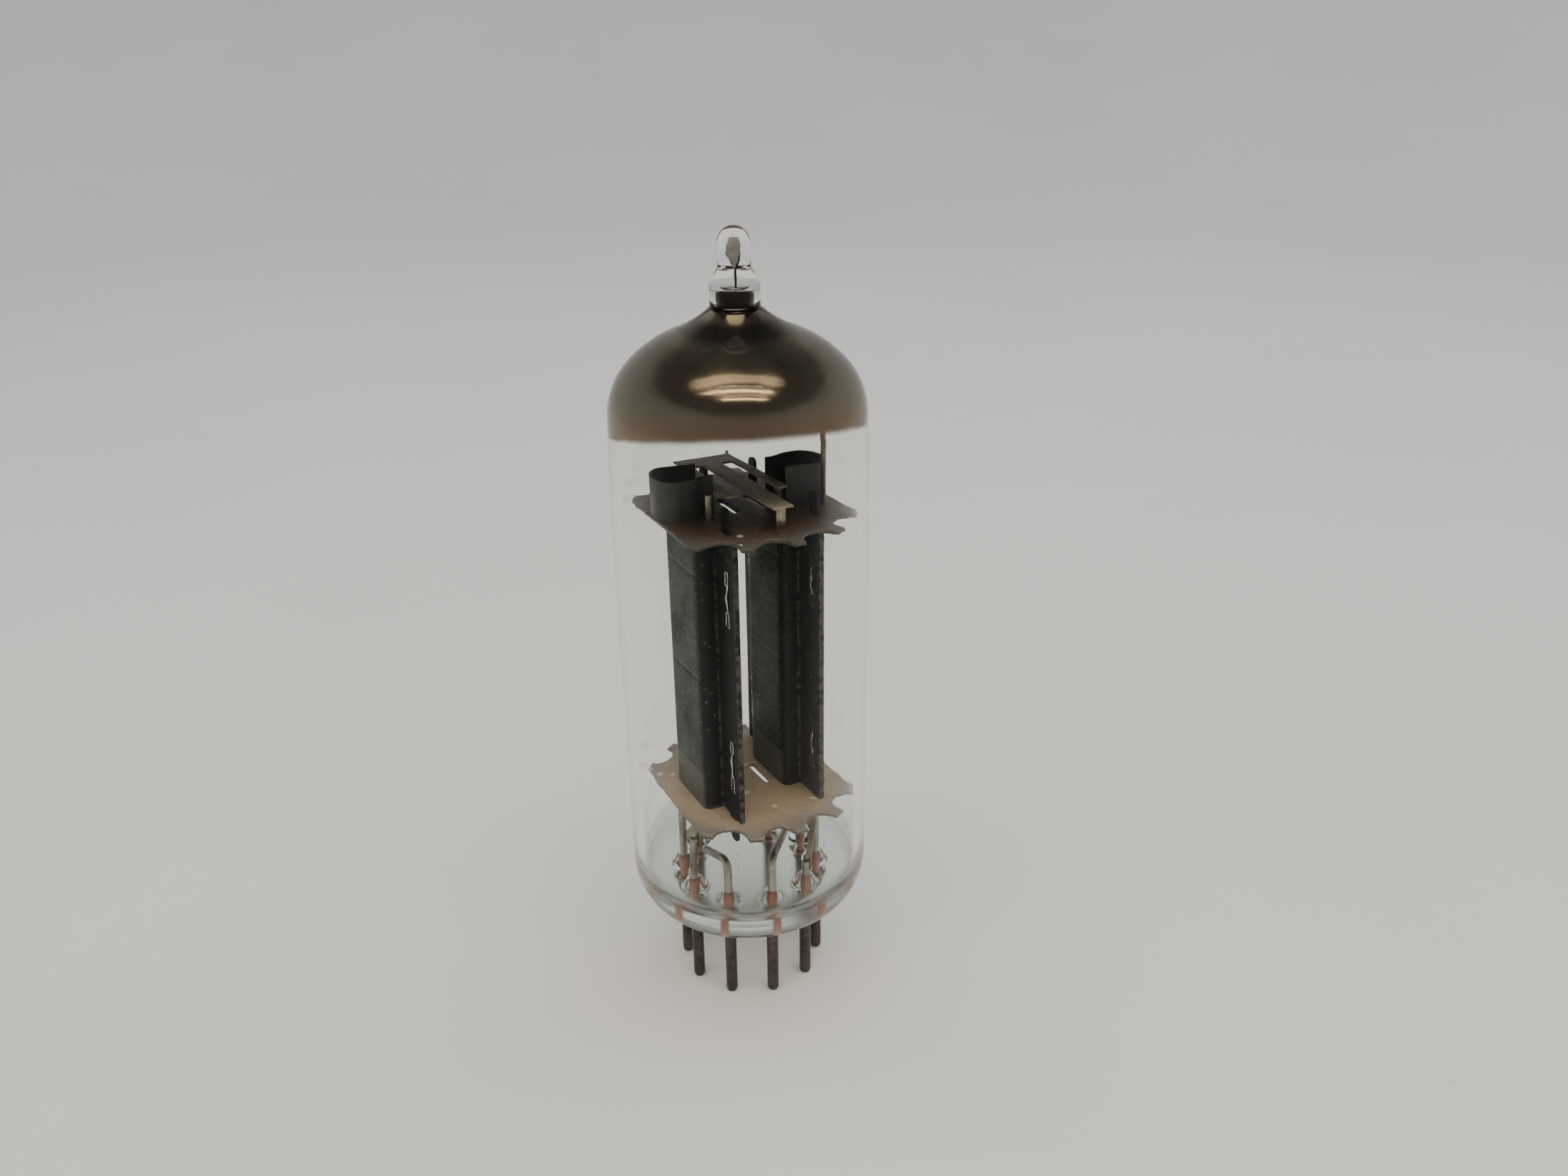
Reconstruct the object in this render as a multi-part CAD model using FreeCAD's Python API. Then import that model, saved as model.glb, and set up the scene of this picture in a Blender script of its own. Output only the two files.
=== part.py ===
"""A nine-pin miniature glass vacuum tube with two triode units, in millimetres.

The origin is the centre of the pin circle on the plane of the pin ends, and +Z runs up the tube's axis.
The glass parts are turned shapes about Z. The cage of electrodes is drawn in its own frame, in which the
two units stand side by side along X, and is then turned about Z into its place over the pins.
"""

import FreeCAD, Part
import math
import os

V = FreeCAD.Vector
UP = V(0, 0, 1)
ORIGIN = V(0, 0, 0)

# ---- bulb -------------------------------------------------------------------------------------------
BULB_DIAMETER = 20.6
OVERALL_HEIGHT = 65.8
GLASS_WALL = 0.9
TAPER = 0.2                # the bulb's radius is this much less at the shoulder
TAPER_LENGTH = 7.5
SHOULDER_RADIUS = 6.0
SHOULDER_TURN = 45.0       # degrees from the vertical at which the shoulder meets the crown
CROWN_TURN = 69.0          # degrees from the vertical at which the crown meets the flare
FLARE_RADIUS = 9.3
FLARE_TURN = 48.0          # degrees from the vertical at which the flare meets the tip

# ---- exhaust tip ------------------------------------------------------------------------------------
TIP_LENGTH = 5.9
TIP_STEM_RADIUS = 1.93
TIP_NIB_RADIUS = 1.26
TIP_WALL = 0.45
TIP_STEM_LENGTH = 1.6
TIP_PINCH_HEIGHT = 2.9
TIP_CAVITY_HEIGHT = 1.55
TIP_CAVITY_DRAFT = 0.1     # the cavity is this much narrower at its closed top
TIP_WAIST = 0.05           # the nib is this much wider at the pinch
TIP_PINCH_HOLLOW = 0.22    # how far the glass has sunk halfway up to the pinch
TIP_BORE_TOP = 5.2         # height above the dome at which the collapsed bore closes
TIP_BORE_WIDTH = 0.9
TIP_BORE_NECK = 0.12       # width of the bore where it leaves the cavity
TIP_BORE_GAP = 0.12
DEPOSIT_GAP = 0.06

# ---- button and pins --------------------------------------------------------------------------------
PIN_LENGTH = 6.35          # free length, from the pin's end to the glass
PIN_DIAMETER = 1.016
PIN_CIRCLE = 11.89
PIN_POSITIONS = 10         # evenly spaced places on the circle, one of them left empty
PIN_COUNT = 9
FIRST_PIN_TURN = 143.6     # degrees from +X to pin 1, the pins counted against the clock seen from above
PIN_IN_GLASS = 0.6
PIN_NECK_DIAMETER = 0.68   # the pin is this thick where it sits in the glass
PIN_END_ROUND = 0.35
BUTTON_RISE = 1.25         # from the seat plane at the pins up to the button's underside
BUTTON_THICKNESS = 2.4
BUTTON_EDGE_HEIGHT = 4.0   # height and reach of the rounded lower edge
BUTTON_EDGE_REACH = 2.85
SEAM_RISE = 3.2            # from the button's underside up to the seam with the bulb
RIM_WALL = 1.3             # the bulb's wall is this thick at the seam
BOSS_RADIUS = 0.95         # small mound of glass round each pin and each lead
BOSS_HEIGHT = 1.1
SEAL_WIRE_RADIUS = 0.30
BOSS_EDGE = 0.12           # width of glass left round the pin or lead at the mound's thin end
BOSS_SPREAD = 0.35
SEAL_END_DEPTH = 0.3       # the seal wire stops this far below the top of its mound
LEAD_RADIUS = 0.34

# ---- cage -------------------------------------------------------------------------------------------
CAGE_TURN = 27.0           # degrees about Z
CAGE_FLOOR = 12.55         # from the seat plane up to the anodes' lower edge
HEADROOM = 7.7             # from the anodes' upper edge up to the shoulder
MICA_THICKNESS = 0.35
MICA_TOUCH = 0.06          # clearance between a mica's lugs and the bulb
LUG_STEP = 24.0            # degrees between neighbouring lugs
LUG_TIP = 0.55             # half width of a lug's rounded tip
NOTCH_SHARE = 0.45         # a scallop's floor, as a share of the way from the ears out to the lugs
FLAT_INSET = 0.12          # the straight sides lie this far inside the corner lugs
CORNER_CUT = 0.5           # height of the bevel between a corner lug and the straight side
SLOT_FIT = 0.04            # clearance all round a piece that passes through a mica
LEAK_SLOT_X = 1.15         # from the tube's axis to the middle of each slot against leakage
LEAK_SLOT_WIDTH = 0.44
LEAK_SLOT_LENGTH = 3.2

UNIT_OFFSET = 3.7          # from the tube's axis to each unit's axis
ANODE_WIDTH = 3.5
ANODE_DEPTH = 6.3
SHEET = 0.2                # thickness of the anode and radiator sheet
ANODE_CORNER = 0.55        # inside radius of the anode's long corners
FLANGE_REACH = 6.25        # from the middle of the anode to the flange's edge
EAR_WIDTH = 1.2
EAR_INSET = 0.65           # from the flange's edge to the ear
EAR_HEIGHT = 1.95          # how far an ear stands out past the mica
EAR_ROUND = 0.5
STAPLE_WIDTH = 0.5
STAPLE_LENGTH = 4.9
STAPLE_PROUD = 0.12
STAPLE_FROM_END = 2.6      # from the anode's edge to the near end of the staple
STAPLE_INSET = 0.9         # from the flange's edge to the staple's middle

ROD_RADIUS = 0.3
ROD_OFFSET = 1.85          # from the unit's axis to each grid rod
ROD_BELOW = 1.4            # how far a rod stands out below the lower mica
ROD_ABOVE = 2.0            # how far it stands out above the upper mica
WINDING_WIRE = 0.08
WINDING_GAP = 0.01
WINDING_BULGE = 0.87       # half width of a turn of the grid, measured to the wire
WINDING_PITCH = 0.8
WINDING_MARGIN = 0.8
CATHODE_RADIUS = 0.55
CATHODE_WALL = 0.08
CATHODE_BELOW = 1.0
CATHODE_ABOVE = 0.8
HEATER_RADIUS = 0.14
HEATER_SPREAD = 0.2        # from the cathode's axis to each leg of the heater
HEATER_TOP_INSET = 0.8     # from the cathode's top down to the heater's bend
HEATER_STRAIGHT = 0.4      # straight stretch of the long leg below the cathode, before it splays
HEATER_SPLAY_SHARE = 0.32  # how far out the long leg's foot stands, as a share of the outer room
HEATER_BELOW = 5.2         # how far the long leg hangs below the lower mica
BRIDGE_BELOW = 3.3         # how far the short leg hangs below it
BRIDGE_RADIUS = 0.2
BRIDGE_OVERHANG = 0.3      # how far the bridge runs on past the short legs
HEATER_FOOT_GAP = 0.09     # between a slanted foot and the lead under it

# ---- top of the cage --------------------------------------------------------------------------------
RADIATOR_HEIGHT = 3.2
RADIATOR_REACH = 3.35      # from the unit's axis out to the round end of a radiator
RADIATOR_GAP = 0.04        # between a radiator and the rod that it is welded to
RADIATOR_LAP = 0.85        # how far it runs on past the rod, towards the tube's axis
RADIATOR_SWELL = 0.45      # how far its long side bulges away from the rod
RADIATOR_SHOULDER = 2.0    # from the unit's axis out to where the round end begins
RADIATOR_FRONT = 1.3       # from the unit's middle plane forward to the other long side
RADIATOR_LIP = 0.95        # the same to its free lip
RADIATOR_MIDDLE = 0.15     # the round end lies this far behind the unit's middle plane
SHIELD_LIFT = 1.75         # from the upper mica up to the slotted mica
SHIELD_THICKNESS = 0.2
SHIELD_HALF_WIDTH = 2.65
SHIELD_BACK = 7.3
SHIELD_FRONT = 7.0
SHIELD_PRONG_END = 3.0     # how far forward the side prongs reach
BAR_HALF_WIDTH = 0.85
SHIELD_SLOT = 0.9
SLOT_BACK = 4.9            # from the axis back to the closed end of the slots
POST_WIDTH = 0.8
POST_THICKNESS = 0.15
POST_INSET = 0.5

GETTER_RING_RADIUS = 3.4
GETTER_CHANNEL = 0.9       # width of the channel that the getter ring is pressed from
GETTER_CHANNEL_DEPTH = 0.63
GETTER_CHANNEL_WALL = 0.15
GETTER_LIFT = 0.9          # from the shoulder's level up to the ring's underside
STRIP_WIDTH = 0.65
STRIP_THICKNESS = 0.12
STRIP_X = 5.3
STRIP_Y = -3.9
STRIP_FOOT = 1.3

FILM_THICKNESS = 0.08
FILM_REACH = 5.0           # from the shoulder's level down to the film's edge, before the slanted cut
FILM_MID_HEIGHT = -1.2     # level of the film's lower edge on the axis, from the shoulder's level
FILM_SLOPE_X = 0.03
FILM_SLOPE_Y = -0.19

# ---- straps -----------------------------------------------------------------------------------------
STRAP_THICKNESS = 0.12
ANODE_STRAP_WIDTH = 0.75
GRID_STRAP_WIDTH = 1.1
GRID_KNEE_SHARE = 0.47     # how far out the knee of the grid's strap lies, as a share of the outer room
CATHODE_STRAP_WIDTH = 0.6
WELD_GAP = 0.01
STRAP_END = 0.2            # how far a strap's end stays clear of what lies beyond it
STRAP_LAP = 1.0            # how far a strap laps the lead that it is welded to
LEAD_BEND = 1.2
HEATER_LEAD_BEND = 1.6
ANODE_LEAD_STUB = 1.2      # how far leads 1 and 6 stand out of the glass
HEATER_LEAD_RISE = 3.1     # from the glass up to the bend of leads 4 and 5
CATHODE_LEAD_BELOW = 3.6   # from the lower mica down to the ends of leads 3 and 8
CATHODE_LEAN_SHARE = 0.05  # how far leads 3 and 8 lean inwards, as a share of the outer room
CATHODE_LEAD_RISE = 0.6    # from the glass up to the bend of leads 3 and 8
TAP_LEAD_RISE = 1.55       # from the glass up to the bend of lead 9
GRID_STRAP_RISE = 2.3      # from the glass up to the strap's upper corner on leads 2 and 7

BEND_SHARE = 0.45          # a bend takes up at most this share of the shorter run beside it
OVERCUT = 1.0              # how far a cutting tool runs past the piece that it cuts

# ---- worked out from the sizes above ----------------------------------------------------------------
BULB_RADIUS = BULB_DIAMETER / 2
BULB_INSIDE = BULB_RADIUS - GLASS_WALL
SEAT = PIN_LENGTH
BUTTON_BOTTOM = SEAT + BUTTON_RISE
BUTTON_TOP = BUTTON_BOTTOM + BUTTON_THICKNESS
SEAM = BUTTON_BOTTOM + SEAM_RISE
BOSS_TOP = BUTTON_TOP + BOSS_HEIGHT
SEAL_TOP = BOSS_TOP - SEAL_END_DEPTH
PIN_TOP = SEAT + PIN_IN_GLASS
TIP_BASE = OVERALL_HEIGHT - TIP_LENGTH
CAGE_BOTTOM = SEAT + CAGE_FLOOR


def sin_deg(angle):
    return math.sin(math.radians(angle))


def cos_deg(angle):
    return math.cos(math.radians(angle))


# The crown's radius is what is left over, so that tip, flare, crown and shoulder add up to the bulb.
SHOULDER_WIDTH = SHOULDER_RADIUS * (1 - cos_deg(SHOULDER_TURN))
FLARE_WIDTH = FLARE_RADIUS * (cos_deg(FLARE_TURN) - cos_deg(CROWN_TURN))
CROWN_WIDTH = BULB_RADIUS - TAPER - TIP_STEM_RADIUS - SHOULDER_WIDTH - FLARE_WIDTH
CROWN_RADIUS = CROWN_WIDTH / (cos_deg(SHOULDER_TURN) - cos_deg(CROWN_TURN))
FLARE_HEIGHT = FLARE_RADIUS * (sin_deg(CROWN_TURN) - sin_deg(FLARE_TURN))
CROWN_HEIGHT = CROWN_RADIUS * (sin_deg(CROWN_TURN) - sin_deg(SHOULDER_TURN))
SHOULDER_HEIGHT = SHOULDER_RADIUS * sin_deg(SHOULDER_TURN)
SHOULDER_LEVEL = TIP_BASE - FLARE_HEIGHT - CROWN_HEIGHT - SHOULDER_HEIGHT
CAGE_TOP = SHOULDER_LEVEL - HEADROOM
ANODE_LENGTH = CAGE_TOP - CAGE_BOTTOM
MICA_BOTTOM = CAGE_BOTTOM - MICA_THICKNESS
MICA_TOP = CAGE_TOP + MICA_THICKNESS
LUG_RADIUS = BULB_INSIDE - MICA_TOUCH
EAR_MIDDLE = FLANGE_REACH - EAR_INSET - EAR_WIDTH / 2
EAR_CORNER = math.hypot(UNIT_OFFSET + SHEET + SLOT_FIT, EAR_MIDDLE + EAR_WIDTH / 2 + SLOT_FIT)
NOTCH_RADIUS = EAR_CORNER + NOTCH_SHARE * (LUG_RADIUS - EAR_CORNER)
ROD_EDGE = ROD_OFFSET + ROD_RADIUS


# ---- helpers ----------------------------------------------------------------------------------------
def pin_angle(number):
    return FIRST_PIN_TURN + (number - 1) * 360.0 / PIN_POSITIONS


def on_circle(radius, angle, z=0.0):
    return V(radius * cos_deg(angle), radius * sin_deg(angle), z)


def pin_place(number, z=0.0):
    return on_circle(PIN_CIRCLE / 2, pin_angle(number), z)


def caged(x, y, z=0.0):
    """The place in the tube's frame of a point of the cage's frame."""
    return V(x * cos_deg(CAGE_TURN) - y * sin_deg(CAGE_TURN),
             x * sin_deg(CAGE_TURN) + y * cos_deg(CAGE_TURN), z)


def uncaged(point):
    """The place in the cage's frame of a point of the tube's frame."""
    return V(point.x * cos_deg(CAGE_TURN) + point.y * sin_deg(CAGE_TURN),
             point.y * cos_deg(CAGE_TURN) - point.x * sin_deg(CAGE_TURN), point.z)


def turn_cage(shape):
    shape.rotate(ORIGIN, UP, CAGE_TURN)
    return shape


def other_unit(shape):
    """The same piece of the other unit: the two units match after half a turn."""
    copy = shape.copy()
    copy.rotate(ORIGIN, UP, 180)
    return copy


def export(shape, node):
    shape.exportStep("parts/" + node + ".step")


def block(low, high):
    return Part.makeBox(high[0] - low[0], high[1] - low[1], high[2] - low[2], V(*low))


def rod(start, end, radius):
    along = end - start
    return Part.makeCylinder(radius, along.Length, start, along)


def turned(edges):
    """A full turn about Z of the outline that the edges close in the plane of X and Z."""
    face = Part.Face(Part.Wire(edges))
    solid = face.revolve(ORIGIN, UP, 360)
    return solid if isinstance(solid, Part.Solid) else Part.Solid(solid.Shells[0])


def line(start, end):
    return Part.LineSegment(start, end).toShape()


def arc(start, middle, end):
    return Part.Arc(start, middle, end).toShape()


def corner_arc(corner, into, out, reach):
    """Start, middle and end of the arc that rounds a corner, given how far along each run it reaches."""
    half = into.getAngle(out) / 2
    radius = reach / math.tan(half)
    middle = corner + (out - into).normalize() * (radius / math.cos(half) - radius)
    return corner - into * reach, middle, corner + out * reach


def rounded_path(points, bend):
    """Straight runs through the points, joined by tangent arcs of one radius, less where a run is short."""
    edges = []
    here = points[0]
    for before, corner, after in zip(points, points[1:], points[2:]):
        into = (corner - before).normalize()
        out = (after - corner).normalize()
        room = BEND_SHARE * min((corner - before).Length, (after - corner).Length)
        reach = min(bend * math.tan(into.getAngle(out) / 2), room)
        start, middle, end = corner_arc(corner, into, out, reach)
        edges += [line(here, start), arc(start, middle, end)]
        here = end
    edges.append(line(here, points[-1]))
    return Part.Wire(edges)


def loop_corner(before, corner, after):
    """The one or three points that draw one corner (x, y, radius) of a closed outline."""
    place = V(corner[0], corner[1], 0)
    if corner[2] == 0:
        return [place]
    into = (place - V(before[0], before[1], 0)).normalize()
    out = (V(after[0], after[1], 0) - place).normalize()
    return corner_arc(place, into, out, corner[2] * math.tan(into.getAngle(out) / 2))


def rounded_loop(corners):
    """A closed level outline through the corners (x, y, radius), each rounded by its own radius."""
    edges = []
    neighbours = zip(corners[-1:] + corners, corners, corners[1:] + corners[:1])
    turns = [loop_corner(*three) for three in neighbours]
    for turn, following in zip(turns, turns[1:] + turns[:1]):
        if len(turn) == 3:
            edges.append(arc(*turn))
        edges.append(line(turn[-1], following[0]))
    return Part.Wire(edges)


def wire(points, radius, bend):
    """A round wire along the points."""
    path = rounded_path(points, bend)
    ring = Part.Wire(Part.makeCircle(radius, points[0], points[1] - points[0]))
    return Part.Solid(path.makePipeShell([ring], True, False))


def prism(outline, low, high):
    """An upright solid on the closed outline, a wire at z = 0."""
    face = Part.Face(outline)
    face.translate(V(0, 0, low))
    return face.extrude(V(0, 0, high - low))


def polygon(points):
    corners = [V(x, y, 0) for x, y in points]
    return Part.makePolygon(corners + corners[:1])


def sheet_sides(points, thickness):
    """Points along both faces of a bent sheet whose middle is one smooth curve through the points."""
    curve = Part.BSplineCurve()
    curve.interpolate([V(x, y, 0) for x, y in points])
    steps = 3 * len(points)
    first = curve.FirstParameter
    sides = ([], [])
    for i in range(steps + 1):
        at = first + (curve.LastParameter - first) * i / steps
        across = UP.cross(V(*curve.tangent(at)[0])).normalize() * (thickness / 2)
        sides[0].append(curve.value(at) + across)
        sides[1].append(curve.value(at) - across)
    return sides


def sheet_along(points, thickness, low, high):
    """An upright bent sheet whose middle follows one smooth curve through the points."""
    sides = sheet_sides(points, thickness)
    edges = [line(sides[0][0], sides[1][0]), line(sides[0][-1], sides[1][-1])]
    for side in sides:
        smooth = Part.BSplineCurve()
        smooth.interpolate(side)
        edges.append(smooth.toShape())
    return prism(Part.Wire(Part.__sortEdges__(edges)), low, high)


def mitred(normals):
    """Offsets at the points of a path, given those of its runs: at a corner the two faces meet."""
    offsets = [normals[0]]
    for before, after in zip(normals, normals[1:]):
        both = before + after
        offsets.append(both * (before.dot(before) / both.dot(before)))
    return offsets + [normals[-1]]


def upright_strap(points, widths, thickness):
    """A strap of straight runs that stands on edge, its upper edge through the points."""
    runs = [V(end.x - start.x, end.y - start.y, 0) for start, end in zip(points, points[1:])]
    offsets = mitred([UP.cross(run).normalize() * (thickness / 2) for run in runs])
    sections = []
    for point, offset, width in zip(points, offsets, widths):
        low = point - UP * width
        corners = [point + offset, point - offset, low - offset, low + offset]
        sections.append(Part.makePolygon(corners + corners[:1]))
    return Part.makeLoft(sections, True, True)


def bent_strap(points, width, thickness):
    """A strap of straight runs through the points, all in one upright plane, level across it."""
    whole = V(points[-1].x - points[0].x, points[-1].y - points[0].y, 0)
    side = UP.cross(whole).normalize()
    runs = [(end - start).normalize() for start, end in zip(points, points[1:])]
    offsets = mitred([side.cross(run) * (thickness / 2) for run in runs])
    outline = [p + n for p, n in zip(points, offsets)]
    outline += [p - n for p, n in reversed(list(zip(points, offsets)))]
    shift = side * (width / 2)
    face = Part.Face(Part.makePolygon([p - shift for p in outline + outline[:1]]))
    return face.extrude(shift * 2)


# ---- glass ------------------------------------------------------------------------------------------
def dome_points(offset):
    """First, middle and last points of the dome's three arcs, moved inwards by the offset, tip first.

    Each arc goes on from the last at the same slope: the flare is hollow, crown and shoulder are full.
    """
    points = []
    radius = TIP_STEM_RADIUS
    level = TIP_BASE
    pieces = [(FLARE_RADIUS, FLARE_TURN, CROWN_TURN), (CROWN_RADIUS, CROWN_TURN, SHOULDER_TURN),
              (SHOULDER_RADIUS, SHOULDER_TURN, 0.0)]
    for size, first, last in pieces:
        for slope in (first, (first + last) / 2, last):
            out = size * abs(cos_deg(slope) - cos_deg(first))
            down = size * abs(sin_deg(slope) - sin_deg(first))
            inwards = V(cos_deg(slope), 0, sin_deg(slope)) * offset
            points.append(V(radius + out, 0, level - down) - inwards)
        radius += out
        level -= down
    return points


def dome_edges(offset):
    """The dome's three arcs, moved inwards by the offset, with its points at the tip and at the shoulder."""
    p = dome_points(offset)
    return [arc(p[0], p[1], p[2]), arc(p[2], p[4], p[5]), arc(p[5], p[7], p[8])], p[0], p[8]


def lower_outline_point(level):
    """A point of the rounded lower edge of the glass, a quarter of an ellipse, at the given level."""
    share = (level - BUTTON_BOTTOM) / BUTTON_EDGE_HEIGHT
    reach = math.sqrt(1 - (1 - share) ** 2)
    return V(BULB_RADIUS - BUTTON_EDGE_REACH + BUTTON_EDGE_REACH * reach, 0, level)


def tip_outline(base):
    """The outside of the exhaust tip: a stem, a pinch where it was melted off, and a round nib."""
    stem_top = TIP_BASE + TIP_STEM_LENGTH
    pinch = V(TIP_NIB_RADIUS + TIP_WAIST, 0, TIP_BASE + TIP_PINCH_HEIGHT)
    nib_low = V(TIP_NIB_RADIUS, 0, OVERALL_HEIGHT - TIP_NIB_RADIUS)
    nib_mid = V(TIP_NIB_RADIUS * cos_deg(45), 0, OVERALL_HEIGHT - TIP_NIB_RADIUS * (1 - sin_deg(45)))
    stem = V(TIP_STEM_RADIUS, 0, stem_top)
    belly = V(TIP_STEM_RADIUS - TIP_PINCH_HOLLOW, 0, (stem_top + pinch.z) / 2)
    return [line(base, stem), arc(stem, belly, pinch), line(pinch, nib_low),
            arc(nib_low, nib_mid, V(0, 0, OVERALL_HEIGHT))]


def bulb_outside():
    dome, top, side = dome_edges(0.0)
    body_top = V(BULB_RADIUS, 0, side.z - TAPER_LENGTH)
    body_low = V(BULB_RADIUS, 0, BUTTON_BOTTOM + BUTTON_EDGE_HEIGHT)
    seam = lower_outline_point(SEAM)
    between = lower_outline_point((SEAM + body_low.z) / 2)
    edges = tip_outline(top) + dome
    edges += [line(side, body_top), line(body_top, body_low), arc(body_low, between, seam)]
    return edges, seam


def bulb_inside():
    dome, top, side = dome_edges(GLASS_WALL)
    body_top = V(BULB_INSIDE, 0, side.z - TAPER_LENGTH)
    low = V(BULB_INSIDE, 0, BUTTON_BOTTOM + BUTTON_EDGE_HEIGHT + GLASS_WALL / 2)
    seam = V(lower_outline_point(SEAM).x - RIM_WALL, 0, SEAM)
    between = V((low.x + seam.x) / 2 + (low.x - seam.x) / 4, 0, (low.z + seam.z) / 2)
    cavity = TIP_STEM_RADIUS - TIP_WALL
    cavity_top = TIP_BASE + TIP_CAVITY_HEIGHT
    neck = V(cavity, 0, top.z + GLASS_WALL)
    closed = V(cavity - TIP_CAVITY_DRAFT, 0, cavity_top)
    edges = [line(V(0, 0, cavity_top), closed), line(closed, neck), line(neck, top)] + dome
    edges += [line(side, body_top), line(body_top, low), arc(low, between, seam)]
    return edges, seam


def collapsed_bore():
    """The last of the pump tube's bore, drawn flat in the glass of the nib: a thin neck, then a leaf."""
    low = TIP_BASE + TIP_CAVITY_HEIGHT
    high = TIP_BASE + TIP_BORE_TOP
    neck_top = low + (high - low) * 0.4
    widest = low + (high - low) * 0.65
    neck = TIP_BORE_NECK / 2
    half = TIP_BORE_WIDTH / 2
    outline = polygon([(-neck, low), (neck, low), (half / 2, neck_top), (half, widest), (half * 0.8, high),
                       (-half * 0.7, high), (-half * 0.9, widest), (-half / 2, neck_top)])
    ribbon = Part.Face(outline).extrude(V(0, 0, TIP_BORE_GAP))
    ribbon.translate(V(0, 0, -TIP_BORE_GAP / 2))
    ribbon.rotate(ORIGIN, V(1, 0, 0), 90)
    return ribbon


def glass_bulb():
    outside, seam_out = bulb_outside()
    inside, seam_in = bulb_inside()
    axis = line(V(0, 0, OVERALL_HEIGHT), V(0, 0, TIP_BASE + TIP_CAVITY_HEIGHT))
    closing = [axis, line(seam_in, seam_out)]
    return turned(Part.__sortEdges__(outside + inside + closing)).cut(collapsed_bore())


def boss_cone(number, low, high, low_radius, high_radius):
    return Part.makeCone(low_radius, high_radius, high - low, pin_place(number, low))


def button_blank():
    """The button before its pins: a disc with a rounded lower edge and a raised rim."""
    rise = SEAM - BUTTON_TOP
    seam_out = lower_outline_point(SEAM)
    seam_in = V(seam_out.x - RIM_WALL, 0, SEAM)
    edge = V(BULB_RADIUS - BUTTON_EDGE_REACH, 0, BUTTON_BOTTOM)
    between = lower_outline_point(BUTTON_BOTTOM + SEAM_RISE / 3)
    floor_edge = V(seam_in.x - rise, 0, BUTTON_TOP)
    hollow = V(floor_edge.x + rise * cos_deg(45), 0, SEAM - rise * sin_deg(45))
    return turned([line(V(0, 0, BUTTON_BOTTOM), edge), arc(edge, between, seam_out), line(seam_out, seam_in),
                   arc(seam_in, hollow, floor_edge), line(floor_edge, V(0, 0, BUTTON_TOP)),
                   line(V(0, 0, BUTTON_TOP), V(0, 0, BUTTON_BOTTOM))])


def pin_channel(number):
    """What pin, seal wire and lead take up of the glass."""
    return [rod(pin_place(number, SEAT - OVERCUT), pin_place(number, PIN_TOP), PIN_NECK_DIAMETER / 2),
            rod(pin_place(number, PIN_TOP), pin_place(number, SEAL_TOP), SEAL_WIRE_RADIUS),
            rod(pin_place(number, SEAL_TOP), pin_place(number, BOSS_TOP + OVERCUT), LEAD_RADIUS)]


def glass_button():
    """The glass base, with a small mound of glass round each pin below and round each lead above."""
    button = button_blank()
    middle = (BUTTON_BOTTOM + BUTTON_TOP) / 2
    foot = BOSS_RADIUS + BOSS_SPREAD
    for number in range(1, PIN_COUNT + 1):
        below = boss_cone(number, SEAT, middle, PIN_DIAMETER / 2 + BOSS_EDGE, foot)
        above = boss_cone(number, middle, BOSS_TOP, foot, LEAD_RADIUS + BOSS_EDGE)
        button = button.fuse([below, above])
    for number in range(1, PIN_COUNT + 1):
        button = button.cut(pin_channel(number))
    return button.removeSplitter()


def pin(number):
    body = rod(pin_place(number), pin_place(number, SEAT), PIN_DIAMETER / 2)
    neck = rod(pin_place(number, SEAT), pin_place(number, PIN_TOP), PIN_NECK_DIAMETER / 2)
    lowest = min(body.Edges, key=lambda edge: edge.BoundBox.ZMax)
    return body.makeFillet(PIN_END_ROUND, [lowest]).fuse(neck)


def seal_wires():
    wires = []
    for number in range(1, PIN_COUNT + 1):
        wires.append(rod(pin_place(number, PIN_TOP), pin_place(number, SEAL_TOP), SEAL_WIRE_RADIUS))
    return Part.makeCompound(wires)


def getter_film():
    """The bright metal film inside the dome, down to an edge that lies a little aslant."""
    outer, top, side = dome_edges(GLASS_WALL)
    inner, inner_top, inner_side = dome_edges(GLASS_WALL + FILM_THICKNESS)
    down = V(TAPER * FILM_REACH / TAPER_LENGTH, 0, -FILM_REACH)
    foot = side + down
    inner_foot = inner_side + down
    edges = outer + inner + [line(side, foot), line(foot, inner_foot), line(inner_foot, inner_side),
                             line(inner_top, top)]
    film = turned(Part.__sortEdges__(edges))
    below = block((-BULB_DIAMETER, -BULB_DIAMETER, -BULB_DIAMETER), (BULB_DIAMETER, BULB_DIAMETER, 0))
    across = V(-FILM_SLOPE_X, -FILM_SLOPE_Y, 1)
    level = V(0, 0, SHOULDER_LEVEL + FILM_MID_HEIGHT)
    below.Placement = FreeCAD.Placement(level, FreeCAD.Rotation(UP, across))
    return film.cut(below)


def tip_deposit():
    """The plug of dark getter metal that closes the bottom of the pump tube."""
    low = TIP_BASE
    high = TIP_BASE + TIP_CAVITY_HEIGHT
    low_radius = TIP_STEM_RADIUS - TIP_WALL - DEPOSIT_GAP
    return Part.makeCone(low_radius, low_radius - TIP_CAVITY_DRAFT, high - low, V(0, 0, low))


# ---- cage -------------------------------------------------------------------------------------------
def lug_angles():
    """Angles from -Y of the five lugs at one end of a mica."""
    return [step * LUG_STEP for step in (-2, -1, 0, 1, 2)]


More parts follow.
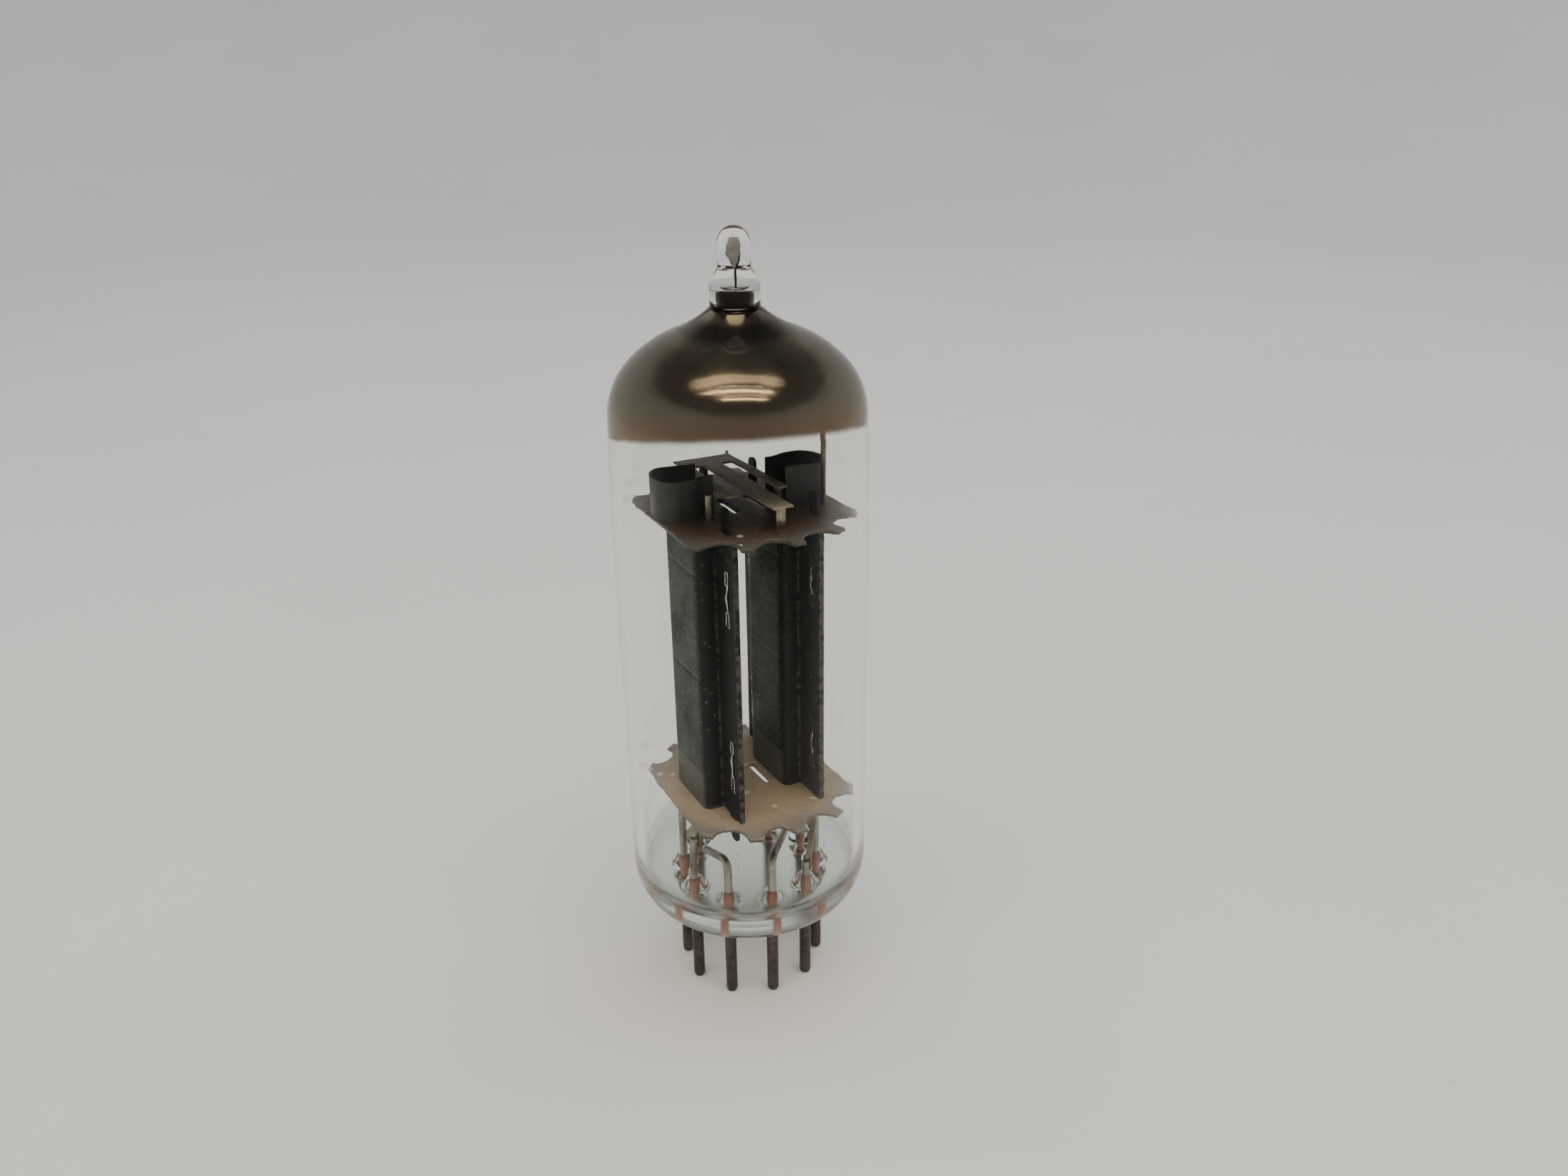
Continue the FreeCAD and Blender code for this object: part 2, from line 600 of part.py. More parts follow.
def toothed_end(side):
    """The edges of one toothed end: a lug, a scallop, a lug and so on. side is -1 for -Y and 1 for +Y."""
    edges = []
    tips = []
    half = math.degrees(LUG_TIP / LUG_RADIUS)
    for angle in lug_angles():
        middle = side * 90 + angle
        ends = [on_circle(LUG_RADIUS, middle - half), on_circle(LUG_RADIUS, middle + half)]
        edges.append(arc(ends[0], on_circle(LUG_RADIUS, middle), ends[1]))
        tips.append(ends)
    for angle, before, after in zip(lug_angles(), tips, tips[1:]):
        floor = on_circle(NOTCH_RADIUS, side * 90 + angle + LUG_STEP / 2)
        edges.append(arc(before[1], floor, after[0]))
    return edges, tips[0][0], tips[-1][1]


def mica_outline():
    front, front_left, front_right = toothed_end(-1)
    back, back_right, back_left = toothed_end(1)
    flat = min(abs(front_left.x), abs(front_right.x)) - FLAT_INSET
    edges = front + back
    for low_lug, high_lug, side in ((front_left, back_left, -1), (front_right, back_right, 1)):
        low = V(side * flat, low_lug.y + CORNER_CUT, 0)
        high = V(side * flat, high_lug.y - CORNER_CUT, 0)
        edges += [line(low_lug, low), line(low, high), line(high, high_lug)]
    return Part.Wire(Part.__sortEdges__(edges))


def ear_box(low, high, unit, end, fit):
    """The stretch of an anode's ear between two levels, widened by the fit."""
    x = unit * UNIT_OFFSET
    outward = unit * SHEET
    y = end * EAR_MIDDLE
    near, far = sorted((x, x + outward))
    return block((near - fit, y - EAR_WIDTH / 2 - fit, low), (far + fit, y + EAR_WIDTH / 2 + fit, high))


def upright_hole(x, y, low, high, radius):
    return rod(V(x, y, low), V(x, y, high), radius)


def mica(level):
    """A mica with holes for the ears, the grid rods and the cathodes, and two slots against leakage."""
    plate = prism(mica_outline(), level, level + MICA_THICKNESS)
    low = level - OVERCUT
    high = level + MICA_THICKNESS + OVERCUT
    holes = []
    for unit in (-1, 1):
        x = unit * UNIT_OFFSET
        holes.append(upright_hole(x, 0, low, high, CATHODE_RADIUS + SLOT_FIT))
        for end in (-1, 1):
            holes.append(ear_box(low, high, unit, end, SLOT_FIT))
            holes.append(upright_hole(x, end * ROD_OFFSET, low, high, ROD_RADIUS + SLOT_FIT))
        near, far = sorted(unit * (LEAK_SLOT_X + edge * LEAK_SLOT_WIDTH / 2) for edge in (-1, 1))
        holes.append(block((near, -LEAK_SLOT_LENGTH / 2, low), (far, LEAK_SLOT_LENGTH / 2, high)))
    return plate.cut(holes)


def anode_half(outward):
    """Half of the left anode: a channel with a flange at each side. The outer half carries the ears.

    outward is 1 for the half away from the tube's axis and -1 for the half towards it.
    """
    shell = prism(anode_section(-outward), CAGE_BOTTOM, CAGE_TOP)
    if outward < 0:
        return shell
    ears = [ear_box(MICA_BOTTOM - EAR_HEIGHT, MICA_TOP + EAR_HEIGHT, -1, end, 0.0) for end in (-1, 1)]
    return shell.fuse([round_ear(ear) for ear in ears]).removeSplitter()


def round_ear(ear):
    """Rounds the four corners of an ear as seen along X."""
    corners = [edge for edge in ear.Edges if abs(edge.tangentAt(edge.FirstParameter).x) > 0.9]
    return ear.makeFillet(EAR_ROUND, corners)


def anode_section(way):
    """The plan outline of half of the left anode: flange, channel and flange, bulging towards way * X."""
    inside = -UNIT_OFFSET
    face = inside + way * SHEET
    wall = inside + way * ANODE_WIDTH / 2
    inner_wall = wall - way * SHEET
    depth = ANODE_DEPTH / 2
    inner = depth - SHEET
    outer_corner = ANODE_CORNER + SHEET
    return rounded_loop([
        (inside, -FLANGE_REACH, 0), (inside, -inner, 0), (inner_wall, -inner, ANODE_CORNER),
        (inner_wall, inner, ANODE_CORNER), (inside, inner, 0), (inside, FLANGE_REACH, 0),
        (face, FLANGE_REACH, 0), (face, depth, 0), (wall, depth, outer_corner),
        (wall, -depth, outer_corner), (face, -depth, 0), (face, -FLANGE_REACH, 0)])


def anode_staples():
    """Crimped tabs that hold the left anode's flanges together, two at each side, on both faces."""
    tabs = []
    for face in (-1, 1):
        flat = -UNIT_OFFSET + face * SHEET
        proud = flat + face * STAPLE_PROUD
        for end in (-1, 1):
            y = end * (FLANGE_REACH - STAPLE_INSET)
            for low in (CAGE_BOTTOM + STAPLE_FROM_END, CAGE_TOP - STAPLE_FROM_END - STAPLE_LENGTH):
                corner = (min(flat, proud), y - STAPLE_WIDTH / 2, low)
                tabs.append(block(corner, (max(flat, proud), y + STAPLE_WIDTH / 2, low + STAPLE_LENGTH)))
    return Part.makeCompound(tabs)


def grid_rods():
    """The two side rods that carry the left grid's winding."""
    low = MICA_BOTTOM - ROD_BELOW
    high = MICA_TOP + ROD_ABOVE
    x = -UNIT_OFFSET
    rods = [rod(V(x, end * ROD_OFFSET, low), V(x, end * ROD_OFFSET, high), ROD_RADIUS) for end in (-1, 1)]
    return Part.makeCompound(rods)


def grid_winding():
    """The turns of fine wire round the rods, each an oval that just clears both."""
    half_long = ROD_EDGE + WINDING_GAP
    outer = Part.Ellipse(V(0, half_long + WINDING_WIRE, 0), V(WINDING_BULGE + WINDING_WIRE, 0, 0), ORIGIN)
    inner = Part.Ellipse(V(0, half_long, 0), V(WINDING_BULGE, 0, 0), ORIGIN)
    ring = Part.Face([Part.Wire(outer.toShape()), Part.Wire(inner.toShape())])
    room = ANODE_LENGTH - 2 * WINDING_MARGIN
    count = int(room / WINDING_PITCH)
    turns = []
    for i in range(count + 1):
        turn = ring.extrude(V(0, 0, WINDING_WIRE))
        turn.translate(V(-UNIT_OFFSET, 0, CAGE_BOTTOM + WINDING_MARGIN + i * room / count))
        turns.append(turn)
    return Part.makeCompound(turns)


def cathode():
    low = V(-UNIT_OFFSET, 0, MICA_BOTTOM - CATHODE_BELOW)
    length = MICA_TOP + CATHODE_ABOVE - low.z
    sleeve = Part.makeCylinder(CATHODE_RADIUS, length, low)
    bore = Part.makeCylinder(CATHODE_RADIUS - CATHODE_WALL, length + 2 * OVERCUT, low - UP * OVERCUT)
    return sleeve.cut(bore)


def outer_room():
    """The level distance along the cage's X from the left unit's axis out to pin 3."""
    return -UNIT_OFFSET - uncaged(pin_place(3)).x


def heater_splay():
    return HEATER_SPLAY_SHARE * outer_room()


def left_heater():
    """The left unit's heater: a folded wire with white insulation, one leg longer and led outwards."""
    x = -UNIT_OFFSET
    top = MICA_TOP + CATHODE_ABOVE - HEATER_TOP_INSET
    bend_level = MICA_BOTTOM - CATHODE_BELOW - HEATER_STRAIGHT
    points = [V(x - heater_splay(), -HEATER_SPREAD, heater_foot()), V(x, -HEATER_SPREAD, bend_level),
              V(x, -HEATER_SPREAD, top), V(x, HEATER_SPREAD, top), V(x, HEATER_SPREAD, bridge_level())]
    return wire(points, HEATER_RADIUS, HEATER_SPREAD)


def heater_foot():
    return MICA_BOTTOM - HEATER_BELOW


def bridge_level():
    """Level of the short legs' ends, which rest on the heater bridge."""
    return MICA_BOTTOM - BRIDGE_BELOW


def heater_bridge():
    """The wire that joins the short legs of both heaters across the tube."""
    half = math.hypot(UNIT_OFFSET, HEATER_SPREAD) + BRIDGE_OVERHANG
    slant = math.degrees(math.atan2(-HEATER_SPREAD, UNIT_OFFSET))
    level = bridge_level() - BRIDGE_RADIUS - WELD_GAP
    return rod(on_circle(-half, slant, level), on_circle(half, slant, level), BRIDGE_RADIUS)


def grid_radiator():
    """The bent cooling fin of the left unit's grid, welded to the rear rod and open towards the axis."""
    wall = ROD_EDGE + RADIATOR_GAP + SHEET / 2
    swell = wall + RADIATOR_SWELL
    x = -UNIT_OFFSET
    out = x - RADIATOR_REACH
    bend = x - (RADIATOR_REACH + RADIATOR_SHOULDER) / 2
    shoulder = x - RADIATOR_SHOULDER
    lip = x + RADIATOR_LAP
    route = [(lip, wall), (x, wall), ((x + shoulder) / 2, (wall + swell) / 2), (shoulder, swell),
             (bend, (swell + RADIATOR_MIDDLE) / 2), (out, RADIATOR_MIDDLE),
             (bend, (RADIATOR_MIDDLE - RADIATOR_FRONT) / 2), (shoulder, -RADIATOR_FRONT),
             ((x + shoulder) / 2, -RADIATOR_FRONT), (x, -RADIATOR_LIP), (lip, -RADIATOR_LIP)]
    return sheet_along(route, SHEET, MICA_TOP, MICA_TOP + RADIATOR_HEIGHT)


def slotted_mica():
    """A thin slotted plate over the cage that keeps getter metal off the upper mica."""
    low = MICA_TOP + SHIELD_LIFT
    slot_out = BAR_HALF_WIDTH + SHIELD_SLOT
    outline = polygon([(-SHIELD_HALF_WIDTH, SHIELD_BACK), (SHIELD_HALF_WIDTH, SHIELD_BACK),
                       (SHIELD_HALF_WIDTH, -SHIELD_PRONG_END), (slot_out, -SHIELD_PRONG_END),
                       (slot_out, SLOT_BACK), (BAR_HALF_WIDTH, SLOT_BACK), (BAR_HALF_WIDTH, -SHIELD_FRONT),
                       (-BAR_HALF_WIDTH, -SHIELD_FRONT), (-BAR_HALF_WIDTH, SLOT_BACK), (-slot_out, SLOT_BACK),
                       (-slot_out, -SHIELD_PRONG_END), (-SHIELD_HALF_WIDTH, -SHIELD_PRONG_END)])
    return prism(outline, low, low + SHIELD_THICKNESS)


def shield_posts():
    """Two small upright tabs that carry the slotted mica, one near each end of its bar."""
    posts = []
    for y in (SHIELD_BACK - POST_INSET, -SHIELD_FRONT + POST_INSET):
        posts.append(block((-POST_WIDTH / 2, y - POST_THICKNESS / 2, MICA_TOP),
                           (POST_WIDTH / 2, y + POST_THICKNESS / 2, MICA_TOP + SHIELD_LIFT)))
    return Part.makeCompound(posts)


def getter_level():
    return SHOULDER_LEVEL + GETTER_LIFT


def ring_between(inner, outer, low, high):
    """A flat-ended ring about the tube's axis."""
    hole = Part.makeCylinder(inner, high - low + 2 * OVERCUT, V(0, 0, low - OVERCUT))
    return Part.makeCylinder(outer, high - low, V(0, 0, low)).cut(hole)


def getter_ring():
    """A ring of channel section, open upwards, that held the getter metal."""
    low = getter_level()
    high = low + GETTER_CHANNEL_DEPTH
    inner = GETTER_RING_RADIUS - GETTER_CHANNEL / 2
    outer = GETTER_RING_RADIUS + GETTER_CHANNEL / 2
    trough = ring_between(inner + GETTER_CHANNEL_WALL, outer - GETTER_CHANNEL_WALL,
                          low + GETTER_CHANNEL_WALL, high + OVERCUT)
    return ring_between(inner, outer, low, high).cut(trough)


def getter_strip():
    """The strip that carries the getter ring: a foot on the upper mica, a long stem and an arm."""
    top = getter_level()
    half = STRIP_WIDTH / 2
    outer_face = STRIP_X + STRIP_THICKNESS
    stem = block((STRIP_X, STRIP_Y - half, MICA_TOP), (outer_face, STRIP_Y + half, top))
    foot = block((outer_face - STRIP_FOOT, STRIP_Y - half, MICA_TOP),
                 (outer_face, STRIP_Y + half, MICA_TOP + STRIP_THICKNESS))
    stem_at = V(outer_face, STRIP_Y, 0)
    arm = block((GETTER_RING_RADIUS, -half, top - STRIP_THICKNESS), (stem_at.Length, half, top))
    arm.rotate(ORIGIN, UP, math.degrees(math.atan2(stem_at.y, stem_at.x)))
    return stem.fuse([foot, arm]).removeSplitter()


# ---- leads and straps -------------------------------------------------------------------------------
def level_with(point, z):
    return V(point.x, point.y, z)


def lead(number, points, bend):
    """The lead of one pin: up out of the glass and then through the points."""
    return wire([pin_place(number, SEAL_TOP)] + points, LEAD_RADIUS, bend)


def left_grid_lead_end():
    """Where lead 2 ends, against the side of the rear grid rod."""
    grid_rod = caged(-UNIT_OFFSET, ROD_OFFSET)
    across = grid_rod - pin_place(2)
    reach = across.Length - ROD_RADIUS - WELD_GAP
    return level_with(pin_place(2) + across.normalize() * reach, MICA_BOTTOM - ROD_BELOW / 2)


def towards_cathode():
    """The level direction from pin 3 to the left cathode."""
    return (caged(-UNIT_OFFSET, 0) - pin_place(3)).normalize()


def cathode_lead_top():
    place = pin_place(3) + towards_cathode() * (CATHODE_LEAN_SHARE * outer_room())
    return level_with(place, MICA_BOTTOM - CATHODE_LEAD_BELOW)


def left_leads():
    """Leads 1, 2 and 3: anode, grid and cathode of the left unit."""
    grid_end = left_grid_lead_end()
    lean = cathode_lead_top()
    return {
        1: lead(1, [pin_place(1, BOSS_TOP + ANODE_LEAD_STUB)], LEAD_BEND),
        2: lead(2, [pin_place(2, grid_end.z), grid_end], LEAD_BEND),
        3: lead(3, [pin_place(3, BOSS_TOP + CATHODE_LEAD_RISE), lean], LEAD_BEND),
    }


def heater_leads():
    """Leads 4, 5 and 9: the two outer ends of the heaters, and the tap at the middle of the bridge."""
    under_foot = heater_foot() - LEAD_RADIUS - HEATER_FOOT_GAP
    under_bridge = bridge_level() - 2 * BRIDGE_RADIUS - LEAD_RADIUS - 2 * WELD_GAP
    left_end = caged(-UNIT_OFFSET - heater_splay(), -HEATER_SPREAD, under_foot)
    right_end = caged(UNIT_OFFSET + heater_splay(), HEATER_SPREAD, under_foot)
    return {
        4: lead(4, [pin_place(4, BOSS_TOP + HEATER_LEAD_RISE), left_end], HEATER_LEAD_BEND),
        5: lead(5, [pin_place(5, BOSS_TOP + HEATER_LEAD_RISE), right_end], HEATER_LEAD_BEND),
        9: lead(9, [pin_place(9, BOSS_TOP + TAP_LEAD_RISE), V(0, 0, under_bridge)], HEATER_LEAD_BEND),
    }


def left_anode_strap():
    """From lead 1 up to the inner face of the left anode's rear ear, drawn in the cage's frame."""
    pin_at = uncaged(pin_place(1))
    gap = STRAP_THICKNESS / 2 + WELD_GAP
    beside_lead = pin_at.x - LEAD_RADIUS - gap
    on_ear = -UNIT_OFFSET + gap
    y = (pin_at.y + EAR_MIDDLE) / 2
    stub = BOSS_TOP + ANODE_LEAD_STUB
    ear_foot = MICA_BOTTOM - EAR_HEIGHT
    points = [V(beside_lead, y, stub - STRAP_LAP), V(beside_lead, y, stub + STRAP_END),
              V(on_ear, y, ear_foot - STRAP_END), V(on_ear, y, MICA_BOTTOM - STRAP_END)]
    return bent_strap(points, ANODE_STRAP_WIDTH, STRAP_THICKNESS)


def left_grid_strap():
    """From lead 2 up to the foot of the front grid rod, passing outside the heater's foot."""
    grid_rod = caged(-UNIT_OFFSET, -ROD_OFFSET)
    knee = caged(-UNIT_OFFSET - GRID_KNEE_SHARE * outer_room(), -HEATER_SPREAD)
    start = pin_place(2) + (knee - pin_place(2)).normalize() * (LEAD_RADIUS + WELD_GAP)
    end = grid_rod + (knee - grid_rod).normalize() * (ROD_RADIUS + WELD_GAP)
    low = BOSS_TOP + GRID_STRAP_RISE
    high = MICA_BOTTOM - STRAP_END
    share = (knee - start).Length / ((knee - start).Length + (end - knee).Length)
    points = [level_with(start, low), level_with(knee, low + (high - low) * share), level_with(end, high)]
    end_width = ROD_BELOW - STRAP_END
    knee_width = GRID_STRAP_WIDTH + (end_width - GRID_STRAP_WIDTH) * share
    return upright_strap(points, [GRID_STRAP_WIDTH, knee_width, end_width], STRAP_THICKNESS)


def left_cathode_strap():
    """From the top of lead 3 straight up and then across to the cathode's sleeve."""
    top = cathode_lead_top()
    towards = towards_cathode()
    start = top + towards * (LEAD_RADIUS + STRAP_THICKNESS / 2 + WELD_GAP)
    bend = level_with(start, MICA_BOTTOM - CATHODE_BELOW / 2)
    end = level_with(caged(-UNIT_OFFSET, 0) - towards * (CATHODE_RADIUS + WELD_GAP), bend.z)
    low = level_with(start, top.z - STRAP_LAP)
    return bent_strap([low, bend, end], CATHODE_STRAP_WIDTH, STRAP_THICKNESS)


def export_unit(shape, name):
    """Writes a piece drawn for the left unit in the tube's frame, and its match in the right unit."""
    export(other_unit(shape), "right_" + name)
    export(shape, "left_" + name)


def glass_and_pins():
    export(glass_bulb(), "glass_bulb")
    export(glass_button(), "glass_button")
    for number in range(1, PIN_COUNT + 1):
        export(pin(number), "pin_" + str(number))
    export(seal_wires(), "seal_wires")
    export(getter_film(), "getter_film")
    export(tip_deposit(), "tip_deposit")


def electrodes():
    export(turn_cage(mica(MICA_BOTTOM)), "lower_mica")
    export(turn_cage(mica(CAGE_TOP)), "upper_mica")
    export_unit(turn_cage(anode_half(1)), "anode_outer")
    export_unit(turn_cage(anode_half(-1)), "anode_inner")
    export_unit(turn_cage(anode_staples()), "anode_staples")
    export_unit(turn_cage(grid_rods()), "grid_rods")
    export_unit(turn_cage(grid_winding()), "grid_winding")
    export_unit(turn_cage(cathode()), "cathode")
    export_unit(turn_cage(left_heater()), "heater")
    export_unit(turn_cage(grid_radiator()), "grid_radiator")


def top_of_cage():
    export(turn_cage(slotted_mica()), "slotted_mica")
    export(turn_cage(shield_posts()), "shield_posts")
    export(getter_ring(), "getter_ring")
    export(turn_cage(getter_strip()), "getter_strip")


def wiring():
    for number, shape in left_leads().items():
        export(other_unit(shape), "lead_" + str(number + 5))
        export(shape, "lead_" + str(number))
    for number, shape in heater_leads().items():
        export(shape, "lead_" + str(number))
    export(turn_cage(heater_bridge()), "heater_bridge")
    export_unit(turn_cage(left_anode_strap()), "anode_strap")
    export_unit(left_grid_strap(), "grid_strap")
    export_unit(left_cathode_strap(), "cathode_strap")


def main():
    os.makedirs("parts", exist_ok=True)
    glass_and_pins()
    electrodes()
    top_of_cage()
    wiring()


main()
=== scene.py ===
"""A nine-pin glass vacuum tube with two triode units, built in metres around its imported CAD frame."""

import math

import bmesh
import bpy
import numpy as np
from bpy.props import FloatProperty, FloatVectorProperty, IntProperty, PointerProperty
from mathutils import Matrix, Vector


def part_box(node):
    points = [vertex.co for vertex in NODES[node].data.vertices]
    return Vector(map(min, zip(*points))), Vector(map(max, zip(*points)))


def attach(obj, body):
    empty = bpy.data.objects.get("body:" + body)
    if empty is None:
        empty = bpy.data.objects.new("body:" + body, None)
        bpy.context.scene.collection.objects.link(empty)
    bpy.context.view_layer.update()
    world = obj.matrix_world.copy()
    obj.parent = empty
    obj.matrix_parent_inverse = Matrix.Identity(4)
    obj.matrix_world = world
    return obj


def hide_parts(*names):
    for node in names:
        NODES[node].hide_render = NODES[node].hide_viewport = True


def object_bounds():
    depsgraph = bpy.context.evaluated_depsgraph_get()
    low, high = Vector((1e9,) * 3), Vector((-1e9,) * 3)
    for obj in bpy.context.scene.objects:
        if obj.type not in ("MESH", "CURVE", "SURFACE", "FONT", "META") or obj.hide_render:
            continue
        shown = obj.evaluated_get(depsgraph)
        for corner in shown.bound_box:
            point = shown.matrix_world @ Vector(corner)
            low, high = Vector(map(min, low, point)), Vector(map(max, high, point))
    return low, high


bl_info = {
    "name": "Glass vacuum tube",
    "version": (1, 0, 0),
    "blender": (4, 5, 0),
    "location": "View3D > Sidebar > Tube",
    "description": "Builds a nine-pin glass vacuum tube, its finishes and a plain stage",
    "category": "Add Mesh",
}

MM = 0.001
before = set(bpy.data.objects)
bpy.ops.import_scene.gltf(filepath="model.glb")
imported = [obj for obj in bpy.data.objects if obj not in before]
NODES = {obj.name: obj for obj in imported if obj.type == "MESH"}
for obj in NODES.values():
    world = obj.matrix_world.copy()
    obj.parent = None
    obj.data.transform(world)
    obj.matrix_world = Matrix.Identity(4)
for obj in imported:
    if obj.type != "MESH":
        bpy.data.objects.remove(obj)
CAD_BOX = [list(corner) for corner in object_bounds()]
TOP = CAD_BOX[1][2]
BULB_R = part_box("glass_bulb")[1].x
MICA_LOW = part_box("lower_mica")[0].z
MICA_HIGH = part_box("upper_mica")[1].z
CAGE_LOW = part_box("lower_mica")[1].z
CAGE_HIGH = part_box("upper_mica")[0].z
PIN_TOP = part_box("pin_1")[1].z
SEAL_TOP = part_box("seal_wires")[1].z
FILM_SLANT_X, FILM_SLANT_Y = 0.03, 0.19
FILM_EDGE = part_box("getter_film")[0].z + FILM_SLANT_Y * 9.3 * MM
HEATER_FOOT = MICA_LOW - 5.2 * MM
BRIDGE_LEVEL = MICA_LOW - 3.3 * MM
HEATER_SIDE = 0.2 * MM
HEATER_SPREAD = 0.32
BUTTON_EDGE_WIDTH, BUTTON_EDGE_HEIGHT = 2.85 * MM, 4.0 * MM
PINS = range(1, 10)
PIN_STEP = math.radians(36)
MERGE = 1e-7
SPACING = 0.12 * MM
UP = np.array([0.0, 0.0, 1.0])


# ---- sizes and colours ------------------------------------------------------------------------------
def length(name, default, text):
    return FloatProperty(name=name, description=text, default=default * MM, unit="LENGTH", precision=5)


def angle(name, degrees, text):
    return FloatProperty(name=name, description=text, default=math.radians(degrees), subtype="ANGLE")


def colour(name, value, text):
    return FloatVectorProperty(name=name, description=text, default=value, size=3, subtype="COLOR",
                               min=0, max=1)


class TUBE_PG_sizes(bpy.types.PropertyGroup):
    wall: length("Glass wall", 0.9, "Thickness of the bulb's wall")
    tip_length: length("Tip length", 5.9, "Height of the exhaust tip above the dome")
    stem: length("Tip stem radius", 1.93, "Radius of the tip's foot")
    nib: length("Tip nib radius", 1.26, "Radius of the tip's round end")
    tip_wall: length("Tip wall", 0.45, "Glass round the cavity in the tip's stem")
    flare: length("Flare radius", 9.3, "Radius of the hollow curve below the tip")
    shoulder: length("Shoulder radius", 6.0, "Radius of the dome's outer curve")
    taper: length("Taper", 0.2, "How much narrower the bulb is at its shoulder")
    taper_length: length("Taper length", 7.5, "Height over which the bulb narrows")
    button_bottom: length("Button underside", 7.6, "Level of the glass base's underside")
    button_top: length("Button top", 10.0, "Level of the glass floor inside")
    mound: length("Mound height", 1.1, "Height of the glass mounds round pins and leads")
    pin_circle: length("Pin circle radius", 5.945, "Radius of the circle of pins")
    pin_radius: length("Pin radius", 0.508, "Radius of a pin")
    lead_radius: length("Lead radius", 0.34, "Radius of a lead inside the bulb")
    seal_radius: length("Seal wire radius", 0.30, "Radius of the wire sealed in the glass")
    cage_turn: angle("Cage turn", 27.0, "Turn of the cage about the tube's axis")
    first_pin: angle("First pin", 143.6, "Direction of pin 1")
    unit_offset: length("Unit offset", 3.7, "From the tube's axis to each unit's axis")
    anode_width: length("Anode width", 3.5, "Width of an anode's channel")
    anode_depth: length("Anode depth", 6.3, "Depth of an anode's channel")
    sheet: length("Sheet", 0.2, "Thickness of the anode's sheet")
    anode_corner: length("Anode corner", 0.55, "Inside radius of the anode's long corners")
    flange: length("Flange reach", 6.25, "From the anode's middle to a flange's edge")
    ear_height: length("Ear height", 1.95, "How far an anode's ears stand out past the micas")
    ear_width: length("Ear width", 1.2, "Width of an anode's ear")
    rod_radius: length("Grid rod radius", 0.3, "Radius of a grid's side rod")
    rod_offset: length("Grid rod offset", 1.85, "From a unit's axis to its grid rods")
    cathode_radius: length("Cathode radius", 0.55, "Radius of a cathode's sleeve")
    heater_radius: length("Heater radius", 0.14, "Radius of a coated heater wire")
    radiator_height: length("Radiator height", 3.2, "Height of a grid's cooling fin")
    radiator_reach: length("Radiator reach", 3.35, "From a unit's axis to its fin's round end")
    ring_radius: length("Getter ring radius", 3.4, "Radius of the getter ring")


class TUBE_PG_colours(bpy.types.PropertyGroup):
    film: colour("Getter film", (0.215, 0.178, 0.135), "Brownish silver of the mirror inside the dome")
    deposit: colour("Tip deposit", (0.010, 0.008, 0.007), "Black metal in the tip")
    carbon: colour("Carbonised sheet", (0.0085, 0.009, 0.0115), "Dark grey of the anodes")
    mica: colour("Mica", (0.34, 0.26, 0.195), "Pinkish tan of the sprayed micas")
    nickel: colour("Nickel", (0.46, 0.43, 0.38), "Grey nickel of leads and rods")
    ribbon: colour("Strap ribbon", (0.40, 0.33, 0.25), "Tan tarnished nickel ribbon")
    pin: colour("Pins", (0.040, 0.033, 0.029), "Dark brown oxidised pins")
    seal: colour("Seal wire", (0.42, 0.16, 0.11), "Orange red of the wires in the glass")
    heater: colour("Heater coating", (0.80, 0.79, 0.76), "White of the heaters' coating")
    floor: colour("Floor", (0.56, 0.56, 0.556), "Pale grey of the stage")


class TUBE_PG_stage(bpy.types.PropertyGroup):
    camera_back: length("Camera distance", 96.09, "How far in front of the tube the camera stands")
    camera_height: length("Camera height", 79.20, "Height of the camera above the floor")
    pitch: angle("Camera pitch", 23.855, "How far the camera looks down")
    yaw: angle("Camera yaw", 2.031, "How far the camera looks to the right")
    roll: angle("Camera roll", -0.713, "How far the camera is tilted")
    lens: FloatProperty(name="Lens", description="Focal length on a 36 mm wide sensor", default=29.295,
                        unit="CAMERA")
    floor_reach: length("Floor reach", 900.0, "Radius of the floor")
    samples_round: IntProperty(name="Round steps", description="Steps round the bulb", default=224, min=32)


def sizes():
    return bpy.context.scene.tube_sizes


def colours():
    return bpy.context.scene.tube_colours


# ---- surfaces ---------------------------------------------------------------------------------------
def row(*values):
    return np.array(values, float)


def arc_points(centre, radius, first, last, steps):
    """Points of an arc in a plane: centre plus radius times cosine and sine of evenly spaced angles."""
    turn = np.radians(np.linspace(first, last, steps))
    return np.stack([centre[0] + radius * np.cos(turn), centre[1] + radius * np.sin(turn)], 1)


def blend_points(start, end, steps, hollow=0.0):
    """A run from start to end whose distance from the straight line follows a half sine of height hollow."""
    share = np.linspace(0, 1, steps)[:, None]
    run = row(*end) - row(*start)
    side = np.array([run[1], -run[0]]) / max(np.hypot(*run), 1e-12)
    return row(*start) + run * share + side * hollow * np.sin(np.pi * share)


def revolved(profile, steps, centre=(0.0, 0.0)):
    """A grid of the profile (radius, level) turned about the upright line through centre.

    Each point is (radius cos a, radius sin a, level).
    """
    a = np.linspace(0, 2 * np.pi, steps, endpoint=False)
    radius = np.repeat(profile[:, :1], steps, 1)
    level = np.repeat(profile[:, 1:], steps, 1)
    return np.stack([centre[0] + radius * np.cos(a), centre[1] + radius * np.sin(a), level], 2)


def closed_ends(grid):
    """Adds to a grid a first and last row that lie at the middle of its end rows, which closes both ends."""
    low = np.repeat(grid[:1].mean(1, keepdims=True), grid.shape[1], 1)
    high = np.repeat(grid[-1:].mean(1, keepdims=True), grid.shape[1], 1)
    return np.concatenate([low, grid, high])


def travelled(path):
    """The length of the path up to each of its points."""
    return np.concatenate([[0], np.cumsum(np.linalg.norm(np.diff(path, axis=0), axis=1))])


